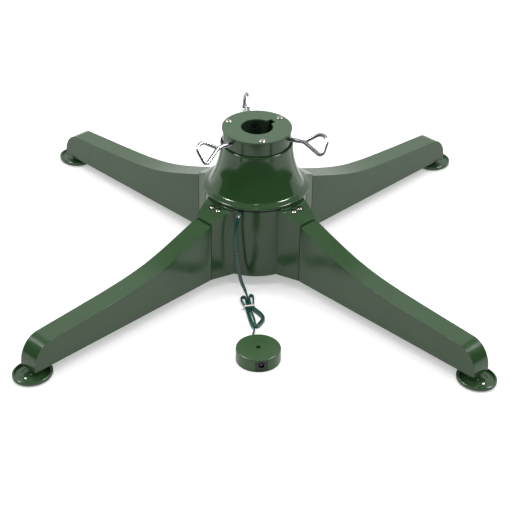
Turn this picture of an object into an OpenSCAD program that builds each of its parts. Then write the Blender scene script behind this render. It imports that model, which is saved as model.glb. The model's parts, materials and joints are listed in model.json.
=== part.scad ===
// Rotating tree stand: four plug-in legs, a hub with a geared motor, and a turning
// socket that grips the pole with three eye screws. The origin is on the floor below
// the pole's axis, +Z is up, and the cord leaves at the front, towards -Y.

/* [Legs] */
// Distance from the pole's axis to the centre of each foot
foot_reach = 374; // [350:1:400]
// Width of a leg at the hub
leg_w = 28.4; // [26:0.2:30]
// Width of a leg at the toe
toe_w = 26.4; // [24:0.2:28]
// Height of the leg's top at the hub
leg_root_z = 94.5; // [90:0.5:95]
// Height of the leg's top where the toe starts
leg_end_z = 48.5; // [44:0.5:54]
// Wall of the legs
leg_wall = 2.6; // [2:0.1:3.2]

/* [Feet] */
// Outer radius of a foot dish
dish_r = 22.5; // [20:0.5:26]
// Height of the dish's rim above the floor
rim_z = 6.5; // [5.5:0.1:8]
// Height at which the leg stands on the foot
post_z = 12.5; // [11:0.1:13.5]
// Radius of the rubber pad under a foot
pad_r = 16; // [13:0.5:17]
// Thickness of the rubber pad
pad_t = 1.6; // [1.4:0.1:2]

/* [Hub] */
// Outer radius of the hub
hub_r = 66; // [65:0.1:67]
// Wall of the hub
hub_wall = 2.8; // [2.4:0.1:3]
// Height of the hub's lower edge above the floor
hub_bottom = 14; // [13.5:0.1:15]
// Height of the hub's top face
hub_top = 110; // [109.5:0.1:111]
// Distance from the axis to the open end of an arm
arm_reach = 92.5; // [91:0.1:96]
// Width of an arm where it meets the hub
arm_root_w = 47; // [42:0.5:52]
// Height of an arm at its open end
arm_end_z = 97.4; // [97:0.1:99]
// Distance from the axis to the screws of an arm
arm_screw_reach = 75; // [73:0.5:77]

/* [Cover] */
// Height of the cover's rim
bell_top = 176.5; // [175:0.5:178]
// Radius of the cover's brim
brim_r = 68.1; // [67.6:0.1:70]
// Radius of the curve of the cover's side, seen from the side
bell_curve = 106; // [104:1:112]
// Wall of the cover
bell_wall = 1.8; // [1.4:0.1:2]

/* [Socket] */
// Radius of the bore for the pole
pole_r = 20.4; // [19.6:0.1:20.6]
// Wall of the socket tube
tube_wall = 1.8; // [1.6:0.1:2.2]
// Height of the floor that the pole stands on
socket_floor = 34; // [33:0.5:40]
// Height of the top plate's upper face
stand_h = 196.3; // [195:0.1:198]
// Thickness of the top plate
plate_t = 1.9; // [1.5:0.1:2.5]
// Width of the keyway
key_w = 9.6; // [8:0.1:10]

/* [Clamp] */
// Outer radius of the turning drum
drum_r = 43.5; // [43:0.1:44]
// Wall of the drum
drum_wall = 2.6; // [2:0.1:3]
// Radius of the eye screws' thread
thread_r = 3; // [2.8:0.1:3.2]
// Radius of the wire that the eye screws are bent from
wire_r = 2.5; // [2.2:0.1:2.8]
// Width of an eye screw's loop between the corners of its wire's centre line
loop_w = 39; // [36:0.5:42]
// Radius of the caps on the eye screws' tips
cap_r = 4.5; // [4:0.1:4.8]

/* [Drive] */
// Module of the gears
gear_module = 1; // [0.95:0.01:1.02]
// Height of the gears' teeth
gear_h = 8; // [6:0.5:9]
// Radius of the gearbox
gearbox_r = 18.5; // [16:0.5:18.5]
// Radius of the motor
motor_r = 16.5; // [14:0.5:18]
// Radius of the bearing's balls
ball_r = 3; // [2.8:0.05:3.1]

/* [Control box] */
// Radius of the control box
box_r = 27.3; // [26:0.1:30]
// Height of the control box
box_h = 17.4; // [17:0.1:20]
// Wall of the control box
box_wall = 2; // [1.6:0.1:2.4]

/* [Hidden] */

$fn = 64;
green = "#3f5f40";
dark_green = "#2f4a30";
steel = "#c9ccce";
zinc = "#e4e6e8";
black = "#1c1d1e";
white = "#eceae4";
cord_green = "#1d4038";

// Clearances: seat is between fixed pieces, running is between a pin and its hole.
seat = 0.2;
running = 0.05;
cut = 1;

// Legs stand between the axes, in the order rear right, rear left, front left, front right.
leg_turns = [45, 135, 225, 315];

// Feet: the post that carries the leg stands nearer to the hub than the dish's centre.
toe_over = 3;
toe_x = foot_reach + toe_over;
post_r = 8.5;
post_x = toe_x - leg_wall - post_r + 0.6;
dish_floor = 3.2;
dish_under = 1;
rim_w = 2.4;
dish_slope_r = 14;
dish_hill = 1.6;
foot_screw_r = 2;
foot_screw_l = 17;
foot_head_r = 3.8;
foot_head_h = 2.2;
foot_seat_z = dish_under + pad_t + foot_head_h;

// The toe is a quarter of an ellipse that ends above the foot.
toe_curve = 27;
toe_start = toe_x - toe_curve;
toe_low_z = post_z + 3.5;
curve_steps = 20;
toe_steps = 12;

// The tongue of a leg fills the socket in an arm.
floor_t = 2.6;
tongue_w = leg_w - 5.8;
tongue_z0 = hub_bottom + floor_t + seat;
tongue_z1 = leg_root_z - 1.4;
tongue_x0 = hub_r + 1;
leg_x0 = arm_reach + 0.3;
arm_hole_y = 5.3;
arm_screw_r = 2;
arm_screw_l = 20;
arm_head_r = 3.1;
arm_head_h = 2.2;
arm_sink_r = 3.7;

// The top of an arm falls in a soft curve from the hub to its open end.
arm_top_z = hub_top - 0.5;
arm_sink_z = arm_top_z - 6.9;
arm_x0 = 50;
arm_shoulder = 62;
arm_steps = 10;

// Hub: flange, posts for the deck and for the bottom cover, and M3 screws.
flange_t = 3;
flange_r = 46;
hub_in_r = hub_r - hub_wall;
case_post_r = 4;
post_ring_r = hub_in_r - case_post_r + 0.3;
deck_post_turns = [65, 155, 245, 335];
cover_post_turns = [25, 115, 205, 295];
m3_r = 1.5;
m3_l = 8;
m3_head_r = 2.8;
m3_head_h = 1.8;
cover_t = 3;
cover_r = hub_in_r - 0.3;
pivot_r = 8;
pivot_boss_r = 14;
pivot_bush_r = 11;
pivot_boss_h = 10;

// The cord's slot in the hub's top edge, in the direction of the cord.
slot_turn = -107;
slot_r = 3.6;
slot_in = hub_r - 7.2;
grommet_x1 = hub_r + 1.4;
grommet_rise = 2;

// Cover: a curved bell on a brim, with a ring that stands on the hub.
drum_gap = 0.9;
rim_r = drum_r + drum_gap + bell_wall;
brim_top = hub_top + 14.3;
brim_low = hub_top + 4.5;
bell_foot_z = brim_top + 3.2;
bell_steps = 14;
brim_round = 2.6;
bell_foot_r = rim_r + bell_curve - sqrt(bell_curve * bell_curve - pow(bell_top - bell_foot_z, 2));
brim_bend = [[0.9, brim_top + 1.5], [3.5, brim_top + 0.3]];
brim_inner = 0.6;
spigot_r = brim_r - 3.3;
spigot_w = 2.5;
bell_screw_r = 59;
bell_boss_r = 3.5;

// Bearing stack, from the drum's web down to the tower's top.
web_z = bell_top - 11.3;
web_t = 3;
race_t = 2.5;
race_r0 = 27;
race_r1 = 39;
ball_ring_r = 33;
ball_count = 12;
groove_r = ball_r + running;
groove_depth = 0.9;
ball_z = web_z - race_t + groove_depth - groove_r;
lower_race_top = ball_z - groove_r + groove_depth;
tower_top = lower_race_top - race_t;
cage_t = 2.4;
tower_flange_r = 55;
tower_flange_t = 3;
tower_r = 39.5;
tower_wall = 3;
tower_ring_t = 4;
tower_screw_r = 51;
bush_r = 24.5;
bush_h = 10;
bush_boss_r = 29;

// Socket tube: turns in the two bushings, carries the drum and the ring gear.
tube_r = pole_r + tube_wall;
tube_floor_t = 3;
pivot_low = hub_bottom + cover_t + 1.5;
tube_hole_r = cap_r + 0.1;
clip_t = 1.6;
clip_groove = 0.6;
clip_z = tower_top - bush_h - 1 - clip_t;
clip_r = tube_r + 3.3;

// Clamp: three eye screws in nuts, at the height of the screws' axis.
clamp_turns = [-20, 100, 220];
loop_tilts = [46, -6, -40];
plate_z = stand_h - plate_t;
plate_r = drum_r + 0.9;
screw_z = plate_z - 7.4;
drum_ring_r = 26;
block_w = 14;
nut_af = 10;
nut_t = 5;
nut_x = 32;
boss_turns = [40, 160, 280];
boss_ring_r = 38;
boss_r = 4;
plate_screw_r = 2;
plate_screw_l = 9;
plate_head_r = 3.7;
plate_head_h = 2;
key_turn = 40;
key_reach = 27.1;
key_depth = 18;
cap_face = pole_r + 0.5;
cap_l = 4.5;
tip_r = 2.2;
tip_in = 1.6;
thread_x0 = cap_face + cap_l + 0.2;
thread_x1 = 58;
loop_apex = 63;
loop_low = 15;
loop_low_x = 90;
loop_high_x = 93;
loop_bends = [4, 4, 9];
loop_close_x = 66.4;
loop_close_y = 2.8;
wire_lap = 0.1;
bend_swell = 1.01;

// Drive: the pinion turns the ring gear above the deck.
ring_teeth = 60;
pinion_teeth = 12;
ring_pitch_r = gear_module * ring_teeth / 2;
pinion_pitch_r = gear_module * pinion_teeth / 2;
pinion_y = ring_pitch_r + pinion_pitch_r;
backlash = 0.24;
pressure_angle = 20;
deck_z = 76;
deck_t = 3;
gear_z = deck_z + deck_t + 5;
collar_h = 8;
collar_r = 28;
set_screw_r = 2;
shaft_r = 3;
shaft_in = 12;
shaft_top = gear_z + gear_h + 1;
motor_y = pinion_y + 7;
gearbox_h = 22;
gearbox_boss_r = 6;
motor_h = 28;
motor_screw_ring = 15.5;
motor_screw_turns = [90, 210, 330];
lead_hole_r = 2.5;
lead_ring_r = hub_r - 8.7;

// Control box, on the floor in front of the stand.
box_at = [4.1, -224.3, 0];
box_base_t = 2.2;
box_round = 1.5;
box_hole_r = 3.1;
box_hole_z = box_h - 8.9;
box_tube_r = 4.6;
box_post_r = 3.2;
box_post_z = box_hole_z - 2.2;
box_screw_r = 1.3;
jack_turn = -81.5;
jack_w = 14.6;
jack_z0 = 2.4;
jack_z1 = 14.9;
jack_l = 12;
jack_face = box_r - 0.8;
jack_axis_z = 9;
jack_bore_r = 3.1;
jack_bore_l = 9;
jack_pin_r = 1;
board_r = 22;
board_z = 6.5;
board_t = 1.6;
stud_ring_r = 18;
stud_turns = [30, 150, 220];
inlet_turn = 103;
inlet_z = 5.2;
inlet_l = 5;

// The cord is a flat twin lead. It drops from the slot, is folded up once on the floor
// under a tie, and runs on to the control box.
cord_w = 4.8;
cord_t = 2.4;
lead_r = 1.2;
cord_sides = 8;
fall_route = [
    [-19.7, -64.5, 108.8], [-20.5, -67, 108.8], [-21.2, -70, 108], [-22.2, -73, 105.5],
    [-23, -75, 101.5], [-23.8, -76.3, 96], [-24.5, -77.2, 90], [-25.1, -78.3, 82],
    [-25.2, -79, 74], [-24.8, -79.7, 66], [-24, -80.3, 58], [-23, -80.8, 50],
    [-21.9, -81.3, 42], [-20.7, -82, 34], [-19.4, -83, 26], [-17.5, -84.3, 18.5],
    [-15.2, -85.8, 12.5], [-12.8, -87.8, 7.6], [-11, -90.4, 4.2], [-10.2, -93, 2.8]
];
tail_route = [
    [0.4, -165, 2.4], [-0.6, -170, 2.4], [-1.6, -175, 2.4], [-2.4, -180, 2.5],
    [-3, -185, 3], [-3.1, -189, 4.1], [-2.9, -192.6, 5], [-2.5, -195.7, 5.2]
];
lead_route = [
    [-17.2, -56.2, 108.8], [-16.8, -55.1, 108], [-16.6, -54.5, 105], [-16.6, -54.5, 98],
    [-16.7, -54.8, 86],
    [-16.7, -54.8, 74], [-17.2, -54.4, 64], [-19, -53, 52], [-25, -50, 42],
    [-34, -43, 35], [-42, -33, 30], [-46, -20, 27], [-48, -5, 26],
    [-46, 10, 25], [-39, 24, 24], [-29, 35, 22], [-18, 41.5, 20.5],
    [-9.5, 43, 19.8], [-7.2, 43, 19.8], [-6.1, 43, 20.9], [-6, 43, 22.4]
];
// Places and radii of the round ends of the folded cord's two lobes.
upper_lobe = [[-13.2, -101, 5.4], [-5.8, -96, 5], [-6.8, -118, 5.2]];
lower_lobe = [[-6.8, -122.5, 5], [5.8, -145, 7], [1, -160, 5.8]];
tie_at = [-6.8, -119.4];
tie_turn = 10;
tie_w = 3;
tie_t = 0.8;
tie_l = 13.4;

// Curves.
function bezier(a, b, c, d, t) =
    pow(1 - t, 3) * a + 3 * t * pow(1 - t, 2) * b + 3 * t * t * (1 - t) * c + pow(t, 3) * d;
function arc(cx, cy, rx, ry, a0, a1, steps) =
    [for (i = [0:steps]) let (a = a0 + (a1 - a0) * i / steps) [cx + rx * cos(a), cy + ry * sin(a)]];

// The leg's top line sags below the straight line from the hub to the toe.
function leg_line(drop) =
    let (
        a = [leg_x0, leg_root_z - drop],
        d = [toe_start, leg_end_z - drop],
        span = d - a,
        b = [a[0] + span[0] * 0.52, d[1] - span[1] * 0.16],
        c = [a[0] + span[0] * 0.27, d[1] - span[1] * 0.31]
    )
    [for (i = [0:curve_steps]) bezier(a, b, c, d, i / curve_steps)];
function toe_line(inset) =
    arc(toe_start, toe_low_z, toe_curve - inset, leg_end_z - toe_low_z - inset, 90, 0, toe_steps);
function arm_line() =
    [for (i = [0:arm_steps])
        bezier([arm_shoulder, arm_top_z], [arm_shoulder + 9, arm_top_z - 1.5],
            [arm_reach - 16, arm_end_z + 8.5], [arm_reach, arm_end_z], i / arm_steps)];

// The cover's side is an arc whose centre lies outside the stand, level with the rim.
function bell_side(inset, z_low, z_high) =
    [for (i = [0:bell_steps])
        let (z = z_high + (z_low - z_high) * i / bell_steps, h = bell_top - z)
        [rim_r - inset + bell_curve - sqrt(bell_curve * bell_curve - h * h), z]];

// Involute teeth.
function involute(a) = tan(a) * 180 / PI - a;
function tooth_half(teeth, r) =
    let (
        pitch_r = gear_module * teeth / 2,
        base_r = pitch_r * cos(pressure_angle)
    )
    90 / teeth - backlash / 2 / pitch_r * 90 / PI + involute(pressure_angle)
        - involute(acos(min(1, base_r / r)));
function gear_outline(teeth, tip, root) =
    let (
        pitch_r = gear_module * teeth / 2,
        root_r = pitch_r - root * gear_module,
        tip_r = pitch_r + tip * gear_module,
        radii = [for (i = [0:3]) root_r + (tip_r - root_r) * i / 3]
    )
    [for (k = [0:teeth - 1], i = [0:7])
        let (
            r = i < 4 ? radii[i] : radii[7 - i],
            side = i < 4 ? -1 : 1,
            a = 360 * k / teeth + side * tooth_half(teeth, r)
        )
        [r * cos(a), r * sin(a)]];

// Sweep of a flat or round section along a route. The section's width turns from the
// direction wide_a at the start to wide_b at the end, within the last share of the route.
function unit(v) = v / norm(v);
function along(p, i) = unit(p[min(i + 1, len(p) - 1)] - p[max(i - 1, 0)]);
function ramp(i, n, share) = max(0, (i / (n - 1) - 1 + share) / share);
function section(p, i, wide, w, t) =
    let (
        d = along(p, i),
        side = unit(wide - (wide * d) * d),
        up = cross(d, side)
    )
    [for (k = [0:cord_sides - 1])
        let (a = 360 * (k + 0.5) / cord_sides)
        p[i] + side * (w / 2 * cos(a)) + up * (t / 2 * sin(a))];

module sweep(p, w, t, wide_a, wide_b, share) {
    n = len(p);
    m = cord_sides;
    points = [for (i = [0:n - 1])
        each section(p, i, wide_a + (wide_b - wide_a) * ramp(i, n, share), w, t)];
    sides = [for (i = [0:n - 2], k = [0:m - 1])
        let (a = i * m + k, b = i * m + (k + 1) % m)
        each [[a, b, b + m], [a, b + m, a + m]]];
    first = [for (k = [1:m - 2]) [0, k + 1, k]];
    last = [for (k = [1:m - 2]) [(n - 1) * m, (n - 1) * m + k, (n - 1) * m + k + 1]];
    polyhedron(points = points, faces = concat(sides, first, last), convexity = 6);
}

module ring(r_out, r_in, h) {
    difference() {
        cylinder(r = r_out, h = h);
        translate([0, 0, -cut]) cylinder(r = r_in, h = h + 2 * cut);
    }
}

module around(turns, r) {
    for (a = turns) rotate([0, 0, a]) translate([r, 0, 0]) children();
}

// A screw with its head's underside at z = 0 and its shank downwards.
module pan_screw(r, l, head_r, head_h) {
    translate([0, 0, -l]) cylinder(r = r, h = l);
    intersection() {
        cylinder(r = head_r, h = head_h);
        translate([0, 0, head_h - head_r * 1.6]) sphere(r = head_r * 1.6);
    }
}

module m3_screw() {
    difference() {
        translate([0, 0, -m3_l]) cylinder(r = m3_r, h = m3_l + m3_head_h);
        translate([0, 0, m3_head_h - 1]) cylinder(r = 0.8, h = cut + 1);
    }
    ring(m3_head_r, m3_r - running, m3_head_h);
}

// Hub.
module arm_shape() {
    side = concat([[arm_x0, hub_bottom], [arm_x0, arm_top_z]], arm_line(), [[arm_reach, hub_bottom]]);
    flare_x = sqrt(hub_r * hub_r - arm_root_w * arm_root_w / 4);
    intersection() {
        rotate([90, 0, 0])
            linear_extrude(height = arm_root_w + 10, center = true) polygon(side);
        linear_extrude(height = hub_top)
            polygon([[arm_x0, -arm_root_w / 2], [flare_x, -arm_root_w / 2], [arm_reach, -leg_w / 2],
                [arm_reach, leg_w / 2], [flare_x, arm_root_w / 2], [arm_x0, arm_root_w / 2]]);
    }
}

module arm_cuts() {
    pocket_w = tongue_w + 2 * seat;
    difference() {
        translate([arm_x0, -pocket_w / 2, hub_bottom + floor_t])
            cube([arm_reach - arm_x0 + cut, pocket_w, tongue_z1 + seat - hub_bottom - floor_t]);
        cylinder(r = hub_r, h = hub_top);
    }
    for (y = [-arm_hole_y, arm_hole_y])
        translate([arm_screw_reach, y, 0]) {
            translate([0, 0, arm_sink_z]) cylinder(r = arm_sink_r, h = hub_top);
            translate([0, 0, tongue_z1 - cut]) cylinder(r = arm_screw_r + running, h = hub_top);
        }
}

module slot_cut(r, z) {
    rotate([0, 0, slot_turn])
        translate([0, 0, z]) {
            translate([slot_in, 0, 0]) cylinder(r = r, h = hub_top);
            translate([slot_in, -r, 0]) cube([hub_r, 2 * r, hub_top]);
        }
}

module hub_housing() {
    color(green)
        difference() {
            union() {
                translate([0, 0, hub_bottom]) cylinder(r = hub_r, h = hub_top - hub_bottom);
                for (a = leg_turns) rotate([0, 0, a])
                    difference() {
                        arm_shape();
                        arm_cuts();
                    }
            }
            difference() {
                translate([0, 0, hub_bottom - cut])
                    cylinder(r = hub_in_r, h = hub_top - flange_t - hub_bottom + cut);
                around(deck_post_turns, post_ring_r)
                    translate([0, 0, deck_z + deck_t]) cylinder(r = case_post_r, h = hub_top);
                around(cover_post_turns, post_ring_r)
                    translate([0, 0, hub_bottom + cover_t]) cylinder(r = case_post_r, h = hub_top);
            }
            translate([0, 0, hub_top - flange_t - cut]) cylinder(r = flange_r, h = 2 * flange_t);
            around(deck_post_turns, post_ring_r)
                translate([0, 0, deck_z]) cylinder(r = m3_r + running, h = deck_t + m3_l);
            around(cover_post_turns, post_ring_r)
                translate([0, 0, hub_bottom]) cylinder(r = m3_r + running, h = cover_t + m3_l);
            around([0, 90, 180, 270], bell_screw_r)
                translate([0, 0, hub_top - 2 * flange_t]) cylinder(r = m3_r + running, h = 3 * flange_t);
            around(leg_turns, tower_screw_r)
                translate([0, 0, hub_top - 2 * flange_t]) cylinder(r = m3_r + running, h = 3 * flange_t);
            slot_cut(slot_r, hub_top - slot_r);
        }
}

module bottom_cover() {
    color(dark_green)
        difference() {
            translate([0, 0, hub_bottom]) {
                cylinder(r = cover_r, h = cover_t);
                cylinder(r = pivot_boss_r, h = cover_t + pivot_boss_h);
            }
            translate([0, 0, hub_bottom + cover_t]) cylinder(r = pivot_bush_r, h = pivot_boss_h + cut);
            around(cover_post_turns, post_ring_r) {
                translate([0, 0, hub_bottom - cut]) cylinder(r = m3_r + running, h = 2 * cover_t);
                translate([0, 0, hub_bottom - cut]) cylinder(r = m3_head_r + running, h = m3_head_h + cut);
            }
        }
}

module deck_plate() {
    color(steel)
        translate([0, 0, deck_z])
            difference() {
                cylinder(r = cover_r, h = deck_t);
                translate([0, 0, -cut]) {
                    cylinder(r = tube_r + 2, h = deck_t + 2 * cut);
                    around(cover_post_turns, post_ring_r) cylinder(r = case_post_r + 0.4, h = deck_t + 2 * cut);
                    around(deck_post_turns, post_ring_r) cylinder(r = m3_r + running, h = deck_t + 2 * cut);
                    translate([0, pinion_y, 0]) cylinder(r = gearbox_boss_r + seat, h = deck_t + 2 * cut);
                    translate([0, motor_y, 0])
                        around(motor_screw_turns, motor_screw_ring)
                            cylinder(r = m3_r + running, h = deck_t + 2 * cut);
                    rotate([0, 0, slot_turn]) translate([lead_ring_r, 0, 0])
                        cylinder(r = lead_hole_r, h = deck_t + 2 * cut);
                }
            }
}

// The same M3 screw holds the bottom cover, the deck, the tower and the bell cover.
module case_screws() {
    color(steel) {
        around(cover_post_turns, post_ring_r)
            translate([0, 0, hub_bottom + m3_head_h]) rotate([180, 0, 0]) m3_screw();
        around(deck_post_turns, post_ring_r)
            translate([0, 0, deck_z]) rotate([180, 0, 0]) m3_screw();
        around([0, 90, 180, 270], bell_screw_r)
            translate([0, 0, hub_top - flange_t]) rotate([180, 0, 0]) m3_screw();
        around(leg_turns, tower_screw_r)
            translate([0, 0, hub_top + tower_flange_t]) m3_screw();
    }
}

// Legs.
module leg_body(inset, top_drop, low) {
    side = concat([[leg_x0, low]], leg_line(top_drop), toe_line(inset),
        [[toe_x - inset, low == hub_bottom ? post_z : low]]);
    intersection() {
        rotate([90, 0, 0])
            linear_extrude(height = 2 * leg_w, center = true) polygon(side);
        linear_extrude(height = 2 * leg_root_z)
            polygon([[leg_x0, -leg_w / 2 + inset], [toe_x, -toe_w / 2 + inset],
                [toe_x, toe_w / 2 - inset], [leg_x0, leg_w / 2 - inset]]);
    }
}

module leg() {
    color(green)
        difference() {
            union() {
                difference() {
                    leg_body(0, 0, hub_bottom);
                    intersection() {
                        leg_body(leg_wall, leg_wall, 1);
                        translate([leg_x0 + leg_wall, -leg_w, 0]) cube([toe_x, 2 * leg_w, 2 * leg_w * 2]);
                    }
                }
                translate([tongue_x0, -tongue_w / 2, tongue_z0])
                    cube([leg_x0 - tongue_x0 + leg_wall / 2, tongue_w, tongue_z1 - tongue_z0]);
                intersection() {
                    leg_body(0, 0, hub_bottom);
                    translate([post_x, 0, post_z]) cylinder(r = post_r - 2.5, h = leg_end_z);
                }
            }
            difference() {
                translate([tongue_x0 + leg_wall, -tongue_w / 2 + leg_wall, 0])
                    cube([leg_x0 - tongue_x0 + 1, tongue_w - 2 * leg_wall, tongue_z1 - leg_wall]);
                for (y = [-arm_hole_y, arm_hole_y])
                    translate([arm_screw_reach, y, tongue_z1 - 12]) cylinder(r = arm_screw_r + 1.6, h = 12);
            }
            for (y = [-arm_hole_y, arm_hole_y])
                translate([arm_screw_reach, y, arm_sink_z - arm_screw_l - 0.5])
                    cylinder(r = arm_screw_r + running, h = arm_screw_l + cut);
            translate([post_x, 0, post_z - cut])
                cylinder(r = foot_screw_r + running, h = foot_screw_l + cut);
        }
}

module leg_front_left() { rotate([0, 0, leg_turns[2]]) leg(); }
module leg_front_right() { rotate([0, 0, leg_turns[3]]) leg(); }
module leg_rear_left() { rotate([0, 0, leg_turns[1]]) leg(); }
module leg_rear_right() { rotate([0, 0, leg_turns[0]]) leg(); }

module leg_screws() {
    color(zinc)
        for (a = leg_turns) rotate([0, 0, a])
            for (y = [-arm_hole_y, arm_hole_y])
                translate([arm_screw_reach, y, arm_sink_z])
                    pan_screw(arm_screw_r, arm_screw_l, arm_head_r, arm_head_h);
}

// Feet: a dish with a rounded rim and a post under the leg's toe.
module foot() {
    rim_c = rim_z - rim_w / 2;
    outline = concat(
        [[0, dish_under], [dish_r - 1.5, dish_under], [dish_r, dish_under + 1.5], [dish_r, rim_c]],
        arc(dish_r - rim_w / 2, rim_c, rim_w / 2, rim_w / 2, 0, 180, 10),
        [[dish_r - rim_w - 1, dish_floor], [dish_slope_r, dish_floor],
            [dish_slope_r - 4, dish_floor + dish_hill], [0, dish_floor + dish_hill]]);
    color(green)
        difference() {
            union() {
                translate([foot_reach, 0, 0]) rotate_extrude() polygon(outline);
                translate([post_x, 0, dish_under + 1]) cylinder(r = post_r, h = post_z - dish_under - 1);
                translate([post_x, 0, dish_floor]) cylinder(r1 = post_r + 2, r2 = post_r, h = 3);
            }
            translate([foot_reach, 0, 0]) cylinder(r = pad_r + seat, h = pad_t);
            translate([post_x, 0, 0]) {
                cylinder(r = foot_screw_r + running, h = post_z + cut);
                cylinder(r = foot_head_r + running, h = foot_seat_z);
            }
        }
}

module foot_front_left() { rotate([0, 0, leg_turns[2]]) foot(); }
module foot_front_right() { rotate([0, 0, leg_turns[3]]) foot(); }
module foot_rear_left() { rotate([0, 0, leg_turns[1]]) foot(); }
module foot_rear_right() { rotate([0, 0, leg_turns[0]]) foot(); }

module pad() {
    color(black) translate([foot_reach, 0, 0]) cylinder(r = pad_r, h = pad_t);
}

module pad_front_left() { rotate([0, 0, leg_turns[2]]) pad(); }
module pad_front_right() { rotate([0, 0, leg_turns[3]]) pad(); }
module pad_rear_left() { rotate([0, 0, leg_turns[1]]) pad(); }
module pad_rear_right() { rotate([0, 0, leg_turns[0]]) pad(); }

module foot_screws() {
    color(steel)
        around(leg_turns, post_x)
            translate([0, 0, foot_seat_z])
                rotate([180, 0, 0]) pan_screw(foot_screw_r, foot_screw_l, foot_head_r, foot_head_h);
}

// Cover.
module bell_outline() {
    brim_c = brim_top - brim_round;
    outer = concat(
        [[rim_r, bell_top]],
        bell_side(0, bell_foot_z, bell_top - 0.5),
        [for (i = [1:4]) bezier([bell_foot_r, bell_foot_z], [bell_foot_r, 0] + brim_bend[0],
            [bell_foot_r, 0] + brim_bend[1], [brim_r - brim_round, brim_top], i / 4)],
        arc(brim_r - brim_round, brim_c, brim_round, brim_round, 90, 0, 6),
        [[brim_r, brim_low]]);
    polygon(concat(outer, [[0, brim_low], [0, bell_top]]));
}

module bell_hollow() {
    inner = concat(
        [[rim_r - bell_wall, bell_top + cut]],
        bell_side(bell_wall, bell_foot_z - 1, bell_top),
        [[bell_foot_r + brim_inner, brim_top - bell_wall], [brim_r - brim_round, brim_top - bell_wall],
            [brim_r - bell_wall, brim_top - brim_round], [brim_r - bell_wall, brim_low - cut]]);
    polygon(concat(inner, [[0, brim_low - cut], [0, bell_top + cut]]));
}

module bell_cover() {
    color(green)
        difference() {
            union() {
                difference() {
                    rotate_extrude() bell_outline();
                    rotate_extrude() bell_hollow();
                }
                translate([0, 0, hub_top]) ring(spigot_r, spigot_r - spigot_w, brim_top - hub_top - 1);
                intersection() {
                    union() {
                        around([0, 90, 180, 270], bell_screw_r)
                            translate([0, 0, hub_top]) cylinder(r = bell_boss_r, h = 20);
                    }
                    union() {
                        rotate_extrude() bell_outline();
                        translate([0, 0, hub_top]) cylinder(r = spigot_r, h = brim_low - hub_top + 1);
                    }
                }
            }
            around([0, 90, 180, 270], bell_screw_r)
                translate([0, 0, hub_top - cut]) cylinder(r = m3_r + running, h = m3_l - flange_t + 2 * cut);
            intersection() {
                slot_cut(slot_r, hub_top - slot_r);
                translate([0, 0, hub_top - cut]) cylinder(r = hub_r + 1, h = cut + grommet_rise + seat);
            }
        }
}

// Bearing.
module bearing_tower() {
    color(steel)
        difference() {
            union() {
                translate([0, 0, hub_top]) cylinder(r = tower_flange_r, h = tower_flange_t);
                translate([0, 0, hub_top]) cylinder(r = tower_r, h = tower_top - hub_top);
            }
            difference() {
                translate([0, 0, hub_top - cut])
                    cylinder(r = tower_r - tower_wall, h = tower_top - tower_ring_t - hub_top + cut);
                translate([0, 0, tower_top - bush_h]) cylinder(r = bush_boss_r, h = bush_h);
            }
            translate([0, 0, hub_top]) cylinder(r = bush_r, h = tower_top);
            around(leg_turns, tower_screw_r)
                translate([0, 0, hub_top - cut]) cylinder(r = m3_r + running, h = tower_flange_t + 2 * cut);
        }
}

module upper_bushing() {
    color(white) translate([0, 0, tower_top - bush_h]) ring(bush_r, tube_r + 0.08, bush_h);
}

module lower_bushing() {
    color(white)
        translate([0, 0, hub_bottom + cover_t]) ring(pivot_bush_r, pivot_r + 0.06, pivot_boss_h);
}

module ball_groove() {
    translate([0, 0, ball_z]) rotate_extrude() translate([ball_ring_r, 0]) circle(r = groove_r);
}

module lower_race() {
    color(steel)
        difference() {
            translate([0, 0, tower_top]) ring(race_r1, race_r0, race_t);
            ball_groove();
        }
}

module upper_race() {
    color(steel)
        difference() {
            translate([0, 0, web_z - race_t]) ring(race_r1, race_r0, race_t);
            ball_groove();
        }
}

module bearing_balls() {
    color(zinc)
        for (i = [0:ball_count - 1]) rotate([0, 0, 360 * i / ball_count])
            translate([ball_ring_r, 0, ball_z]) sphere(r = ball_r);
}

module ball_cage() {
    color("#b7a04f")
        difference() {
            translate([0, 0, ball_z - cage_t / 2]) ring(race_r1 - 0.5, race_r0 + 0.5, cage_t);
            for (i = [0:ball_count - 1]) rotate([0, 0, 360 * i / ball_count])
                translate([ball_ring_r, 0, ball_z - cage_t]) cylinder(r = ball_r + running, h = 2 * cage_t);
        }
}

// Drive.
module gearbox() {
    color(steel)
        difference() {
            union() {
                translate([0, motor_y, deck_z - gearbox_h]) cylinder(r = gearbox_r, h = gearbox_h);
                translate([0, pinion_y, deck_z - 1]) cylinder(r = gearbox_boss_r, h = deck_t + 1.5);
            }
            translate([0, pinion_y, deck_z - shaft_in]) cylinder(r = shaft_r + running, h = 2 * shaft_in);
            translate([0, motor_y, deck_z - m3_l + deck_t - 0.5])
                around(motor_screw_turns, motor_screw_ring) cylinder(r = m3_r + running, h = m3_l);
        }
}

module motor_can() {
    color(zinc)
        translate([0, motor_y, deck_z - gearbox_h - motor_h]) {
            cylinder(r = motor_r, h = motor_h);
            translate([0, 0, -2]) cylinder(r = 5, h = 3);
            for (x = [-6, 6]) translate([x - 1.4, -0.4, -3.5]) cube([2.8, 0.8, 4.5]);
        }
}

module gearbox_screws() {
    color(steel)
        translate([0, motor_y, deck_z + deck_t])
            around(motor_screw_turns, motor_screw_ring) m3_screw();
}

module motor_shaft() {
    color(steel)
        translate([0, pinion_y, deck_z - shaft_in + 0.5])
            cylinder(r = shaft_r, h = shaft_top - deck_z + shaft_in - 0.5);
}

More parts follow.
